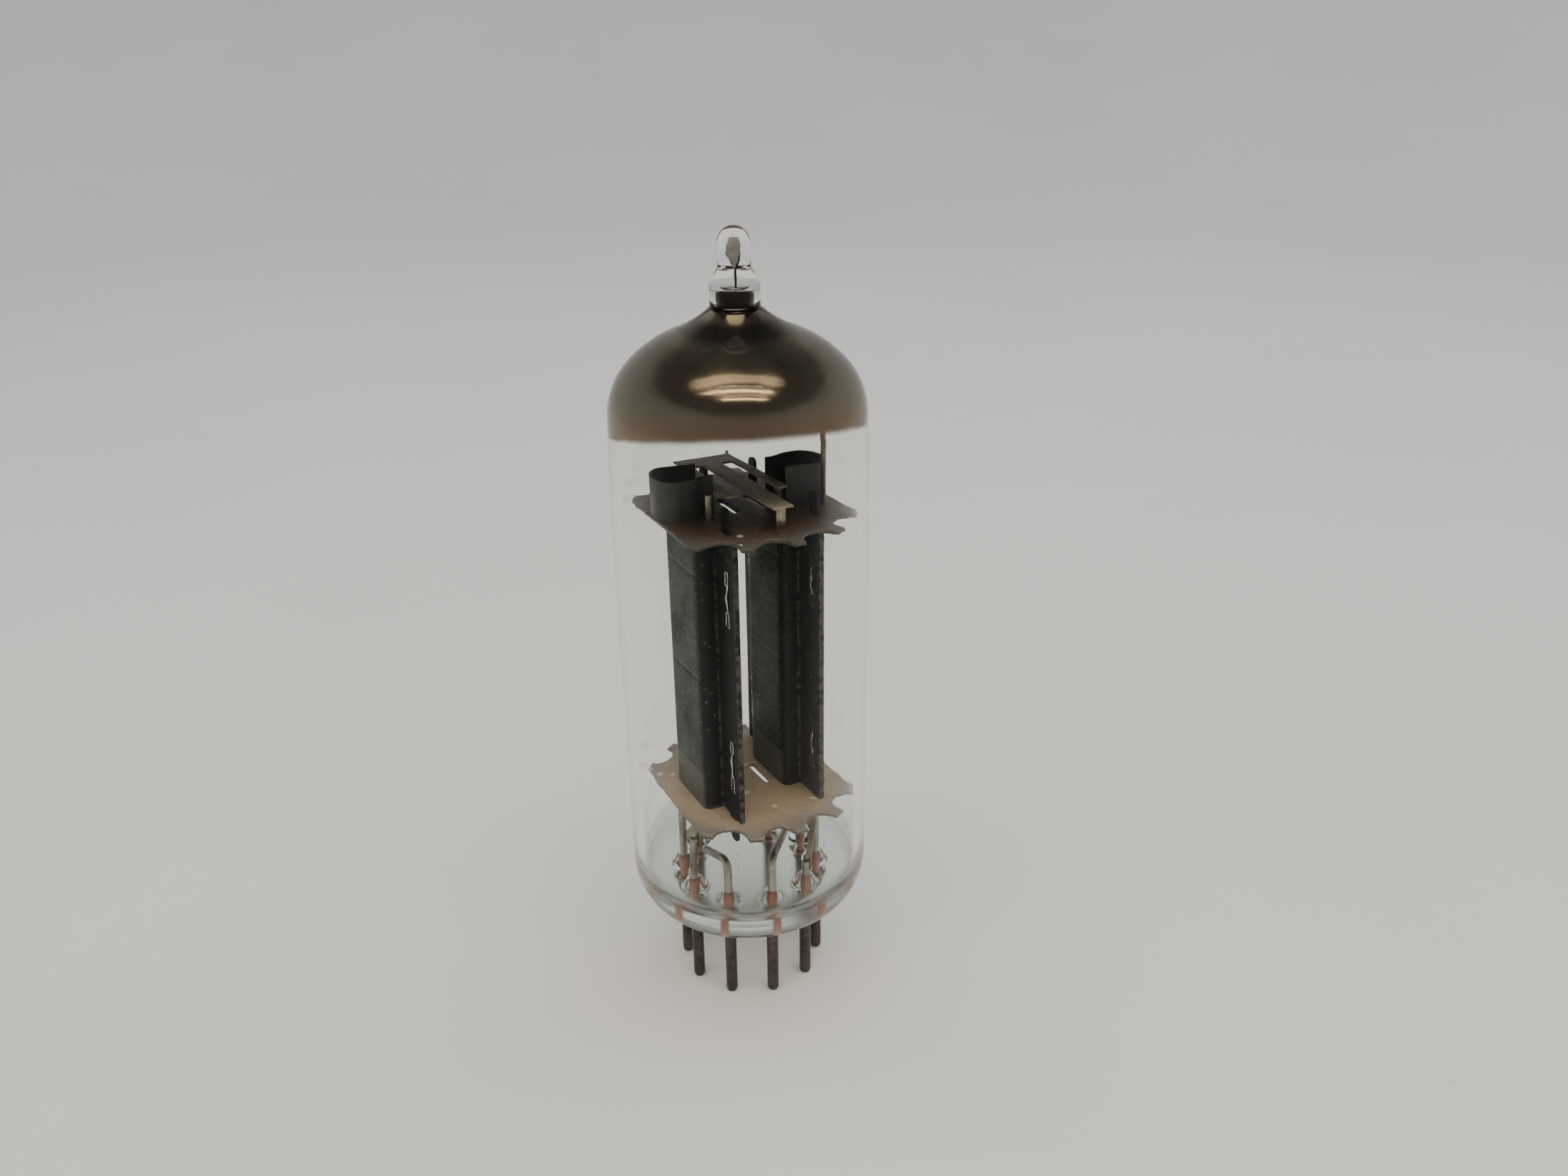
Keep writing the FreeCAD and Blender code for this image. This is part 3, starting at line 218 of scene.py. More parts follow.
def rounded_path(points, bend, steps=9):
    """Runs through the points, each corner replaced by a parabola that starts and ends at most bend away."""
    points = [row(*p) for p in points]
    out = [points[0][None]]
    share = np.linspace(0, 1, steps)[:, None]
    for before, corner, after in zip(points, points[1:], points[2:]):
        reach_in = min(bend, 0.45 * np.linalg.norm(corner - before))
        reach_out = min(bend, 0.45 * np.linalg.norm(after - corner))
        start = corner + (before - corner) / np.linalg.norm(before - corner) * reach_in
        end = corner + (after - corner) / np.linalg.norm(after - corner) * reach_out
        out.append((1 - share) ** 2 * start + 2 * share * (1 - share) * corner + share ** 2 * end)
    out.append(points[-1][None])
    path = np.concatenate(out)
    keep = np.concatenate([[True], np.linalg.norm(np.diff(path, axis=0), axis=1) > MERGE])
    return even_path(path[keep], SPACING)


def even_path(path, step):
    """The same line with points evenly spaced along its length, about step apart."""
    run = travelled(path)
    count = max(4, int(run[-1] / step) + 1)
    at = np.linspace(0, run[-1], count)
    return np.stack([np.interp(at, run, path[:, k]) for k in range(3)], 1)


def swept(path, profile, scale=None, across=(0.6, 0.8, 0.0)):
    """The profile (side, rise) carried along the path.

    At each point the side direction is across made square to the path, and the rise is the cross product
    of the path's direction and the side.
    """
    ahead = np.gradient(path, axis=0)
    ahead /= np.linalg.norm(ahead, axis=1, keepdims=True)
    side = row(*across)[None] - ahead * (ahead @ row(*across))[:, None]
    side /= np.linalg.norm(side, axis=1, keepdims=True)
    rise = np.cross(ahead, side)
    if scale is None:
        scale = np.ones(len(path))
    shape = profile[None] * scale[:, None, None]
    return path[:, None] + side[:, None] * shape[..., :1] + rise[:, None] * shape[..., 1:]


def round_section(radius, steps=18):
    a = np.linspace(0, 2 * np.pi, steps, endpoint=False)
    return np.stack([radius * np.cos(a), radius * np.sin(a)], 1)


def flat_section(width, thickness, steps=20):
    """A flat oval of order four: cosine and sine raised to a half keep its sides nearly straight."""
    a = np.linspace(0, 2 * np.pi, steps, endpoint=False)
    x = np.sign(np.cos(a)) * np.abs(np.cos(a)) ** 0.5
    y = np.sign(np.sin(a)) * np.abs(np.sin(a)) ** 0.5
    return np.stack([x * width / 2, y * thickness / 2], 1)


def wire_grid(points, radius, bend=1.2 * MM, steps=18):
    """A round wire along the points, with ends rounded off over one radius."""
    path = rounded_path(points, bend)
    run = travelled(path)
    near = np.clip(np.minimum(run, run[-1] - run) / (radius * 0.5), 0, 1)
    return closed_ends(swept(path, round_section(radius, steps), 0.75 + 0.25 * np.sqrt(1 - (1 - near) ** 2)))


def loft(loop, levels, bow=None):
    """An upright shell on a closed loop of plan points, one row for each level; its ends are left open.

    bow, a function of the grid, is added to it to make the sheet a little uneven.
    """
    grid = np.zeros((len(levels), len(loop), 3))
    grid[..., :2] = loop[None]
    grid[..., 2] = np.asarray(levels)[:, None]
    if bow is not None:
        grid = grid + bow(grid)
    return grid


def grid_faces(rows, columns, start):
    """Quads between neighbouring rows and columns, the last column joined to the first."""
    r = np.arange(rows - 1)[:, None] * columns
    c = np.arange(columns)[None]
    after = (c + 1) % columns
    quads = np.stack([r + c, r + after, r + columns + after, r + columns + c], -1)
    return quads.reshape(-1, 4) + start


def mesh_from_grids(name, grids, caps=False):
    """One mesh of all the grids; caps adds one many-sided face at each end of each grid."""
    points = []
    faces = []
    start = 0
    for grid in grids:
        rows, columns = grid.shape[:2]
        points.append(grid.reshape(-1, 3))
        faces += grid_faces(rows, columns, start).tolist()
        if caps:
            faces.append(list(range(start + columns - 1, start - 1, -1)))
            faces.append(list(range(start + (rows - 1) * columns, start + rows * columns)))
        start += rows * columns
    mesh = bpy.data.meshes.new(name)
    mesh.from_pydata(np.concatenate(points), [], faces)
    return mesh


def tidy_mesh(mesh, sharp=35.0, outwards=True):
    """Merges doubled points, points all faces outwards if asked, and smooths all but the sharp edges."""
    bm = bmesh.new()
    bm.from_mesh(mesh)
    bmesh.ops.remove_doubles(bm, verts=bm.verts, dist=MERGE)
    bmesh.ops.dissolve_degenerate(bm, edges=bm.edges, dist=MERGE / 10)
    if outwards:
        bmesh.ops.recalc_face_normals(bm, faces=bm.faces)
    bm.to_mesh(mesh)
    bm.free()
    mesh.shade_smooth()
    mesh.set_sharp_from_angle(angle=math.radians(sharp))


def place(mesh, name, material, nodes=()):
    """Puts the mesh in the scene as a piece that rides on the tube and stands for the nodes."""
    piece = bpy.data.objects.new(name, mesh)
    bpy.context.scene.collection.objects.link(piece)
    mesh.materials.clear()
    mesh.materials.append(material)
    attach(piece, "root")
    if nodes:
        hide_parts(*nodes)
    return piece


def piece_of(name, grids, material, nodes=(), caps=False, sharp=35.0):
    mesh = mesh_from_grids(name, grids, caps)
    tidy_mesh(mesh, sharp)
    return place(mesh, name, material, nodes)


def merged_copy(node):
    """A copy of a CAD node's mesh with its doubled points merged and its flat faces joined."""
    mesh = NODES[node].data.copy()
    bm = bmesh.new()
    bm.from_mesh(mesh)
    bmesh.ops.remove_doubles(bm, verts=bm.verts, dist=MERGE)
    bmesh.ops.dissolve_limit(bm, angle_limit=math.radians(1), verts=bm.verts, edges=bm.edges)
    bm.to_mesh(mesh)
    bm.free()
    return mesh


def applied(piece):
    """Replaces the piece's mesh by the one that its modifiers give."""
    bpy.context.view_layer.update()
    depsgraph = bpy.context.evaluated_depsgraph_get()
    mesh = bpy.data.meshes.new_from_object(piece.evaluated_get(depsgraph))
    piece.modifiers.clear()
    piece.data = mesh
    return piece


def points_of(mesh):
    flat = np.zeros(len(mesh.vertices) * 3, np.float32)
    mesh.vertices.foreach_get("co", flat)
    return flat.reshape(-1, 3).astype(float)


def set_points(mesh, points):
    mesh.vertices.foreach_set("co", points.astype(np.float32).ravel())
    mesh.update()


def bevelled(node, name, material):
    """A sheet-metal piece with its CAD shape and softened edges."""
    piece = place(merged_copy(node), name, material, [node])
    soften = piece.modifiers.new("Soft edges", "BEVEL")
    soften.width = 0.02 * MM
    soften.segments = 2
    soften.limit_method = "ANGLE"
    applied(piece)
    piece.data.shade_smooth()
    piece.data.set_sharp_from_angle(angle=math.radians(40))
    return piece


def waves(points, scale, seed):
    """A smooth uneven value from -1 to 1 at each point: the mean of six sines whose waves run six ways."""
    rng = np.random.default_rng(seed)
    ways = rng.normal(size=(6, 3))
    ways /= np.linalg.norm(ways, axis=1, keepdims=True)
    phases = rng.uniform(0, 2 * np.pi, 6)
    per_metre = rng.uniform(0.6, 1.7, 6) / scale * 2 * np.pi
    return np.sin((points @ ways.T) * per_metre + phases).mean(-1)


# ---- places in the tube -----------------------------------------------------------------------------
def pin_place(number, level=0.0):
    s = sizes()
    turn = s.first_pin + (number - 1) * PIN_STEP
    return row(s.pin_circle * math.cos(turn), s.pin_circle * math.sin(turn), level)


def caged(points):
    """Points of the cage's own frame turned about Z into the tube's."""
    points = np.asarray(points, float)
    c = math.cos(sizes().cage_turn)
    n = math.sin(sizes().cage_turn)
    x = points[..., 0] * c - points[..., 1] * n
    y = points[..., 0] * n + points[..., 1] * c
    return np.stack([x, y, points[..., 2]], -1)


def half_turn(points):
    """The matching points of the other unit, half a turn away."""
    return np.asarray(points) * row(-1, -1, 1)


def both_units(*grids):
    """For the left unit and then the right one, its name and the left unit's grids turned into its place."""
    for side, turned in (("left_", lambda points: points), ("right_", half_turn)):
        yield side, [caged(turned(grid)) for grid in grids]


def outer_room():
    """The level distance along the cage's own first axis from the left unit out to pin 3."""
    turn = sizes().cage_turn
    at = pin_place(3)
    return abs(at[0] * math.cos(turn) + at[1] * math.sin(turn) + sizes().unit_offset)


def tip_foot():
    """The level at which the exhaust tip leaves the dome."""
    return TOP - sizes().tip_length


# ---- finishes ---------------------------------------------------------------------------------------
class Look:
    """Adds nodes to one material or group, with short calls for the kinds used here."""

    def __init__(self, tree):
        self.tree = tree

    def feed(self, target, source):
        """Links the source to the target socket, or sets it as that socket's value."""
        if hasattr(source, "is_output"):
            self.tree.links.new(source, target)
        else:
            target.default_value = source

    def add(self, kind, *links, **values):
        node = self.tree.nodes.new(kind)
        for key, value in values.items():
            setattr(node, key, value)
        for socket, source in links:
            self.feed(node.inputs[socket], source)
        return node

    def noise(self, vector, scale, detail=4.0, rough=0.55, distortion=0.0):
        links = [("Vector", vector), ("Scale", scale), ("Detail", detail), ("Roughness", rough),
                 ("Distortion", distortion)]
        return self.add("ShaderNodeTexNoise", *links).outputs["Fac"]

    def math(self, operation, first, second=0.0):
        node = self.add("ShaderNodeMath", (0, first), (1, second), operation=operation)
        return node.outputs[0]

    def steps(self, value, low, high, out_low=0.0, out_high=1.0):
        """The value moved from the range low to high into out_low to out_high, eased at both ends."""
        links = [("Value", value), ("From Min", low), ("From Max", high), ("To Min", out_low),
                 ("To Max", out_high)]
        return self.add("ShaderNodeMapRange", *links, interpolation_type="SMOOTHSTEP").outputs[0]

    def mix(self, share, first, second):
        first, second = (c if hasattr(c, "is_output") else (*c[:3], 1.0) for c in (first, second))
        return self.add("ShaderNodeMix", (0, share), (6, first), (7, second), data_type="RGBA",
                        clamp_factor=True).outputs[2]

    def lay(self, tint, mask, amount, over):
        """The tint with a second one laid over it, by the given amount where the mask is full."""
        return self.mix(self.math("MULTIPLY", mask, amount), tint, over)

    def level(self, at):
        return self.add("ShaderNodeSeparateXYZ", ("Vector", at)).outputs["Z"]

    def stretched(self, vector, scale, turn=(0.0, 0.0, 0.0)):
        links = [("Vector", vector), ("Scale", scale), ("Rotation", turn)]
        return self.add("ShaderNodeMapping", *links).outputs[0]

    def group(self, tree, **values):
        node = self.add("ShaderNodeGroup", node_tree=tree)
        for name, source in values.items():
            self.feed(node.inputs[name], source)
        return node

    def bump(self, height, strength, distance):
        links = [("Height", height), ("Strength", strength), ("Distance", distance)]
        return self.add("ShaderNodeBump", *links).outputs[0]

    def dress(self, surface, **inputs):
        """Feeds the surface's inputs, whose names are given with underscores for their spaces."""
        for socket, source in inputs.items():
            self.feed(surface.inputs[socket.replace("_", " ")], source)


def new_group(name, inputs, outputs):
    """An empty node group with the named inputs (kind, default) and outputs (kind), and its helper."""
    tree = bpy.data.node_groups.new(name, "ShaderNodeTree")
    for label, (kind, default) in inputs.items():
        socket = tree.interface.new_socket(label, in_out="INPUT", socket_type="NodeSocket" + kind)
        if default is not None:
            socket.default_value = default
    for label, kind in outputs.items():
        tree.interface.new_socket(label, in_out="OUTPUT", socket_type="NodeSocket" + kind)
    look = Look(tree)
    given = look.add("NodeGroupInput").outputs
    result = look.add("NodeGroupOutput").inputs
    return tree, look, given, result


def specks_group():
    """Scattered specks: cells whose random value passes the amount, dark inside a random radius."""
    name = "Scattered specks"
    if name in bpy.data.node_groups:
        return bpy.data.node_groups[name]
    tree, look, given, result = new_group(
        name, {"Vector": ("Vector", None), "Scale": ("Float", 1000.0), "Amount": ("Float", 0.3),
               "Size": ("Float", 0.25)}, {"Mask": "Float"})
    bent = look.noise(given["Vector"], 2200.0, 2.0)
    moved = look.add("ShaderNodeVectorMath", (0, bent), operation="SCALE")
    moved.inputs["Scale"].default_value = 0.00025
    shifted = look.add("ShaderNodeVectorMath", (0, given["Vector"]), (1, moved.outputs[0]), operation="ADD")
    cells = look.add("ShaderNodeTexVoronoi", ("Vector", shifted.outputs[0]), ("Scale", given["Scale"]))
    parts = look.add("ShaderNodeSeparateColor", ("Color", cells.outputs["Color"]))
    chosen = look.math("LESS_THAN", parts.outputs[0], given["Amount"])
    radius = look.math("MULTIPLY", parts.outputs[1], given["Size"])
    inside = look.math("LESS_THAN", cells.outputs["Distance"], radius)
    tree.links.new(look.math("MULTIPLY", chosen, inside), result["Mask"])
    return tree


def scratches_group():
    """Fine straight scratches: thin level lines of a noise stretched far along one direction."""
    name = "Fine scratches"
    if name in bpy.data.node_groups:
        return bpy.data.node_groups[name]
    tree, look, given, result = new_group(
        name, {"Vector": ("Vector", None), "Scale": ("Float", 900.0), "Width": ("Float", 0.02),
               "Amount": ("Float", 0.5)}, {"Mask": "Float"})
    along = look.stretched(given["Vector"], (1.0, 1.0, 0.06))
    lines = look.noise(along, given["Scale"], 2.0, 0.5)
    off = look.math("ABSOLUTE", look.math("SUBTRACT", lines, 0.5))
    thin = look.math("LESS_THAN", off, given["Width"])
    where = look.noise(given["Vector"], 260.0, 2.0)
    shown = look.math("LESS_THAN", where, given["Amount"])
    tree.links.new(look.math("MULTIPLY", thin, shown), result["Mask"])
    return tree


def tarnish_group():
    """Uneven tarnish: two sizes of noise mixed, as a colour between clean and stained and as a mask."""
    name = "Uneven tarnish"
    if name in bpy.data.node_groups:
        return bpy.data.node_groups[name]
    tree, look, given, result = new_group(
        name, {"Vector": ("Vector", None), "Scale": ("Float", 300.0), "Clean": ("Color", (0.5, 0.5, 0.5, 1)),
               "Stained": ("Color", (0.2, 0.2, 0.2, 1)), "Low": ("Float", 0.35), "High": ("Float", 0.7)},
        {"Color": "Color", "Mask": "Float"})
    broad = look.noise(given["Vector"], given["Scale"], 5.0, 0.6)
    fine = look.noise(given["Vector"], look.math("MULTIPLY", given["Scale"], 7.0), 3.0)
    both = look.math("ADD", look.math("MULTIPLY", broad, 0.75), look.math("MULTIPLY", fine, 0.25))
    mask = look.steps(both, given["Low"], given["High"])
    tree.links.new(look.mix(mask, given["Clean"], given["Stained"]), result["Color"])
    tree.links.new(mask, result["Mask"])
    return tree


def shade(colour_value, factor):
    return tuple(min(1.0, c * factor) for c in colour_value[:3])


def opaque(tone, factor=1.0):
    return (*shade(tone, factor), 1)


def start_material(name):
    """A new material with its helper, its Principled surface and the piece's own coordinates."""
    material = bpy.data.materials.new(name)
    material.use_nodes = True
    look = Look(material.node_tree)
    surface = material.node_tree.nodes["Principled BSDF"]
    return material, look, surface, look.add("ShaderNodeTexCoord").outputs["Object"]


def metal(name, clean, stained, rough=(0.3, 0.55), metallic=1.0, scale=300.0, grain=0.15, specks=0.0,
          stretch=(1.0, 1.0, 1.0)):
    """Bare metal: tarnish in the colour and roughness, a fine grain, and a few pale specks if asked."""
    if name in bpy.data.materials:
        return bpy.data.materials[name]
    material, look, surface, at = start_material(name)
    tarnish = look.group(tarnish_group(), Vector=at, Scale=scale, Clean=opaque(clean),
                         Stained=opaque(stained))
    tint = tarnish.outputs["Color"]
    if specks:
        dust = look.group(specks_group(), Vector=at, Scale=2600.0, Amount=specks, Size=0.3).outputs["Mask"]
        tint = look.lay(tint, dust, 0.7, shade(clean, 2.4))
    grained = look.noise(look.stretched(at, stretch), 9000.0, 3.0)
    look.dress(surface, Base_Color=tint, Metallic=metallic, Normal=look.bump(grained, grain, 0.02 * MM),
               Roughness=look.steps(tarnish.outputs["Mask"], 0.0, 1.0, *rough))
    return material


def nickel():
    tint = colours().nickel
    return metal("Nickel wire", tint, shade(tint, 0.45), (0.28, 0.5), stretch=(1, 1, 0.1))


def ribbon():
    tint = colours().ribbon
    return metal("Nickel ribbon", tint, shade(tint, 0.5), scale=420.0)


def glass_look():
    """Clear glass that lets shadow rays through, with specks, faint dust and a cloudy band at the base."""
    clean, seam, speck = (0.965, 0.975, 0.955), (0.66, 0.72, 0.69), (0.16, 0.13, 0.07)
    material, look, surface, at = start_material("Clear glass")
    spots = look.group(specks_group(), Vector=at, Scale=2100.0, Amount=0.42, Size=0.19).outputs["Mask"]
    spots = look.math("MULTIPLY", spots, look.steps(look.noise(at, 130.0, 3.0), 0.42, 0.62))
    level = look.level(at)
    rise = look.steps(level, SEAL_TOP - 2.4 * MM, SEAL_TOP - 1.4 * MM)
    band = look.math("MULTIPLY", rise, look.steps(level, SEAL_TOP + 2.6 * MM, SEAL_TOP + 1.2 * MM))
    dust = look.steps(look.noise(at, 90.0, 5.0, 0.6), 0.45, 0.8, 0.0, 0.015)
    dust = look.math("MAXIMUM", dust, look.math("MULTIPLY", band, 0.2))
    draw = look.noise(look.stretched(at, (1.0, 1.0, 0.12)), 420.0, 2.0)
    look.dress(surface, Base_Color=look.lay(look.lay(clean, band, 0.8, seam), spots, 0.8, speck),
               Roughness=look.math("MAXIMUM", dust, look.math("MULTIPLY", spots, 0.2)),
               Normal=look.bump(draw, 0.12, 0.02 * MM), Transmission_Weight=1.0, IOR=1.5,
               Specular_Tint=(0.05, 0.05, 0.05, 1.0))
    clear = look.add("ShaderNodeBsdfTransparent", ("Color", (0.93, 0.94, 0.93, 1)))
    rays = look.add("ShaderNodeLightPath")
    either = look.add("ShaderNodeMixShader", (0, rays.outputs["Is Shadow Ray"]), (1, surface.outputs[0]),
                      (2, clear.outputs[0]))
    look.feed(look.tree.nodes["Material Output"].inputs["Surface"], either.outputs[0])
    return material


def film_look():
    """The getter's mirror: brownish silver, thinning out at its edge, with painted reflection near the neck:
    a light and dark mottle and a darker band below the tip.
    """
    low_tone, sooty_tone = (0.20, 0.14, 0.09), (0.16, 0.12, 0.085)
    neck_reflection_light, neck_reflection_dark, painted_reflection_tone = (0.36, 0.29, 0.21), (0.14, 0.11, 0.09), (0.05, 0.048, 0.047)
    material, look, surface, at = start_material("Getter mirror")
    parts = look.add("ShaderNodeSeparateXYZ", ("Vector", at))
    level = parts.outputs["Z"]
    slant = look.math("ADD", level, look.math("MULTIPLY", parts.outputs["Y"], FILM_SLANT_Y))
    slant = look.math("SUBTRACT", slant, look.math("MULTIPLY", parts.outputs["X"], FILM_SLANT_X))
    cloud = look.noise(at, 160.0, 4.0)
    edge = look.math("ADD", slant, look.math("MULTIPLY", cloud, 0.5 * MM))
    tone = look.mix(look.steps(edge, FILM_EDGE + 0.3 * MM, FILM_EDGE + 2.6 * MM), low_tone, colours().film)
    sooty = look.steps(look.noise(at, 120.0, 5.0, 0.6, 0.6), 0.52, 0.72)
    tone = look.lay(tone, sooty, 0.35, sooty_tone)
    # Painted reflection: a light and dark mottle on the mirror near the neck.
    neck = look.mix(look.steps(look.noise(at, 210.0, 3.0), 0.35, 0.7), neck_reflection_light, neck_reflection_dark)
    tone = look.mix(look.steps(level, 55.5 * MM, 58.8 * MM), tone, neck)
    # Painted reflection: a near-black band below the tip, where the dark neck shows in the mirror.
    band = look.math("MULTIPLY", look.steps(level, 57.2 * MM, 57.8 * MM),
                     look.steps(level, 58.9 * MM, 58.3 * MM))
    look.dress(surface, Base_Color=look.lay(tone, band, 0.75, painted_reflection_tone), Metallic=1.0,
               Alpha=look.steps(edge, FILM_EDGE, FILM_EDGE + 0.75 * MM),
               Roughness=look.steps(cloud, 0.3, 0.8, 0.07, 0.16),
               Normal=look.bump(look.noise(at, 260.0, 2.0), 0.05, 0.05 * MM))
    return material


def carbon_look():
    """Carbonised sheet: near black and matt, with diagonal scratches, pale dust, painted fold light on the
    walls, and pale edges that are painted highlight and rubbed metal.
    """
    wall_clean, wall_stained = (0.024, 0.026, 0.022), (0.048, 0.051, 0.045)
    fine_tone, long_tone = (0.15, 0.155, 0.14), (0.10, 0.10, 0.095)
    edge_highlight_and_wear_tone, dust_tone = (0.15, 0.145, 0.12), (0.30, 0.30, 0.28)
    material, look, surface, at = start_material("Carbonised sheet")
    base = colours().carbon
    tarnish = look.group(tarnish_group(), Vector=at, Scale=220.0, Clean=opaque(base),
                         Stained=opaque(base, 1.7), Low=0.4, High=0.75)
    wall_tone = look.group(tarnish_group(), Vector=at, Scale=160.0, Clean=opaque(wall_clean),
                           Stained=opaque(wall_stained), Low=0.35, High=0.7)
    on_wall = look.add("ShaderNodeAttribute", attribute_name="wall").outputs["Fac"]
    tint = look.mix(on_wall, tarnish.outputs["Color"], wall_tone.outputs["Color"])
    # Painted highlight and painted shade of level folds on the walls.
    tint = painted_fold_light(look, at, on_wall, tint)
    turned = look.stretched(at, (1.0, 1.0, 1.0), (math.radians(48), math.radians(-38), 0.0))
    fine = look.group(scratches_group(), Vector=turned, Scale=2400.0, Width=0.014, Amount=0.62).outputs[0]
    long = look.group(scratches_group(), Vector=turned, Scale=620.0, Width=0.003, Amount=0.5).outputs[0]
    dust = look.group(specks_group(), Vector=at, Scale=1900.0, Amount=0.5, Size=0.24).outputs["Mask"]
    dust = look.math("MULTIPLY", dust, look.steps(look.noise(at, 190.0, 3.0), 0.42, 0.66))
    # Painted highlight, with some rubbed metal: pale lines on the upright corners and the sheet's ends.
    highlight_and_wear_share = look.add("ShaderNodeAttribute", attribute_name="edge").outputs["Fac"]
    highlight_and_wear_edges = look.math("MULTIPLY", highlight_and_wear_share, look.steps(look.noise(at, 1500.0, 3.0), 0.38, 0.6))
    for mask, amount, tone in ((look.math("MULTIPLY", fine, on_wall), 0.8, fine_tone), (long, 0.5, long_tone),
                               (highlight_and_wear_edges, 0.55, edge_highlight_and_wear_tone), (dust, 0.5, dust_tone)):
        tint = look.lay(tint, mask, amount, tone)
    look.dress(surface, Base_Color=tint, Specular_IOR_Level=0.22, Metallic=0.0,
               Roughness=look.steps(tarnish.outputs["Mask"], 0.0, 1.0, 0.45, 0.65),
               Normal=look.bump(look.noise(at, 7000.0, 3.0), 0.25, 0.02 * MM))
    return material


def painted_fold_light(look, at, on_wall, tint):
    """Painted light of level folds every nine millimetres or so down the flat walls: a pale line of painted
    highlight over a dark band of painted shade.
    """
    first, pitch, fold_highlight_width, fold_shade_start = CAGE_LOW + 3.3 * MM, 9.1 * MM, 0.14 * MM, 8.6 * MM
    sway = look.math("MULTIPLY", look.noise(at, 120.0), 0.3 * MM)
    above = look.math("SUBTRACT", look.math("ADD", look.level(at), sway), first)
    past = look.math("MODULO", above, pitch)
    # Painted highlight: a pale line at each fold.
    pale = look.math("MULTIPLY", look.math("LESS_THAN", past, fold_highlight_width), on_wall)
    # Painted shade: a dark band just below each pale line.
    dark = look.math("MULTIPLY", look.math("GREATER_THAN", past, fold_shade_start), on_wall)
    return look.lay(look.lay(tint, pale, 0.7, (0.12, 0.125, 0.11)), dark, 0.8, (0.006, 0.006, 0.007))


def mica_look(name, tint, edge_tint, through):
    """Sprayed mica: powdery tan, mottled, greyer towards its rim, with pale specks that are partly chipped
    spray and partly painted glint, and as translucent as through says.
    """
    material, look, surface, at = start_material(name)
    tarnish = look.group(tarnish_group(), Vector=at, Scale=330.0, Clean=opaque(tint),
                         Stained=opaque(tint, 0.62), Low=0.42, High=0.8)
    parts = look.add("ShaderNodeSeparateXYZ", ("Vector", at))
    flat = look.add("ShaderNodeCombineXYZ", ("X", parts.outputs["X"]), ("Y", parts.outputs["Y"]))
    out = look.add("ShaderNodeVectorMath", (0, flat.outputs[0]), operation="LENGTH").outputs["Value"]
    out = look.math("ADD", out, look.math("MULTIPLY", look.noise(at, 500.0), 2.0 * MM))
    mottled = look.mix(look.steps(out, 7.6 * MM, 9.8 * MM), tarnish.outputs["Color"], edge_tint)
    # Pale specks: partly chipped spray, partly painted glints.
    chips_and_glints = look.group(specks_group(), Vector=at, Scale=900.0, Amount=0.12, Size=0.3).outputs["Mask"]
    look.dress(surface, Base_Color=look.lay(mottled, chips_and_glints, 0.5, (0.75, 0.72, 0.68)), IOR=1.45,
               Transmission_Weight=through,
               Roughness=look.steps(tarnish.outputs["Mask"], 0.0, 1.0, 0.35, 0.6),
               Normal=look.bump(look.noise(at, 2600.0, 4.0), 0.35, 0.05 * MM))
    return material


def coated_look():
    """The heaters' coating: white, chalky and slightly pitted."""
    material, look, surface, at = start_material("Heater coating")
    base = colours().heater
    tarnish = look.group(tarnish_group(), Vector=at, Scale=900.0, Clean=opaque(base),
                         Stained=opaque(base, 0.7), Low=0.45, High=0.8)
    look.dress(surface, Base_Color=tarnish.outputs["Color"], Roughness=0.85,
               Normal=look.bump(look.noise(at, 8000.0), 0.5, 0.03 * MM))
    return material


# ---- glass, mirror and tip --------------------------------------------------------------------------
def dome_line(offset, steps=14):
    """(radius, level) down the dome: a hollow arc, then two full arcs that go on at the same slope.

    Each point is the arc's own point moved inwards, square to the surface, by offset.
    """
    s = sizes()
    shoulder_width = s.shoulder * (1 - math.cos(math.radians(45)))
    flare_width = s.flare * (math.cos(math.radians(48)) - math.cos(math.radians(69)))
    crown = BULB_R - s.taper - s.stem - shoulder_width - flare_width
    crown /= math.cos(math.radians(45)) - math.cos(math.radians(69))
    radius = s.stem
    level = TOP - s.tip_length
    rows = []
    for size, first, last in ((s.flare, 48, 69), (crown, 69, 45), (s.shoulder, 45, 0)):
        slope = np.radians(np.linspace(first, last, steps))
        out = size * np.abs(np.cos(slope) - np.cos(slope[0]))
        down = size * np.abs(np.sin(slope) - np.sin(slope[0]))
        rows.append(np.stack([radius + out - offset * np.cos(slope),
                              level - down - offset * np.sin(slope)], 1))
        radius += out[-1]
        level -= down[-1]
    return np.concatenate([rows[0], rows[1][1:], rows[2][1:]])


def edge_line(steps=16):
    """The rounded lower edge as (radius, level): a quarter of an ellipse, with a fine groove at the seam."""
    s = sizes()
    turn = np.radians(np.linspace(-90, 0, steps))
    seam = s.button_bottom + 3.2 * MM
    level = s.button_bottom + BUTTON_EDGE_HEIGHT * (1 + np.sin(turn))
    radius = BULB_R - BUTTON_EDGE_WIDTH + BUTTON_EDGE_WIDTH * np.cos(turn)
    return np.stack([radius - 0.07 * MM * np.exp(-((level - seam) / (0.16 * MM)) ** 2), level], 1)


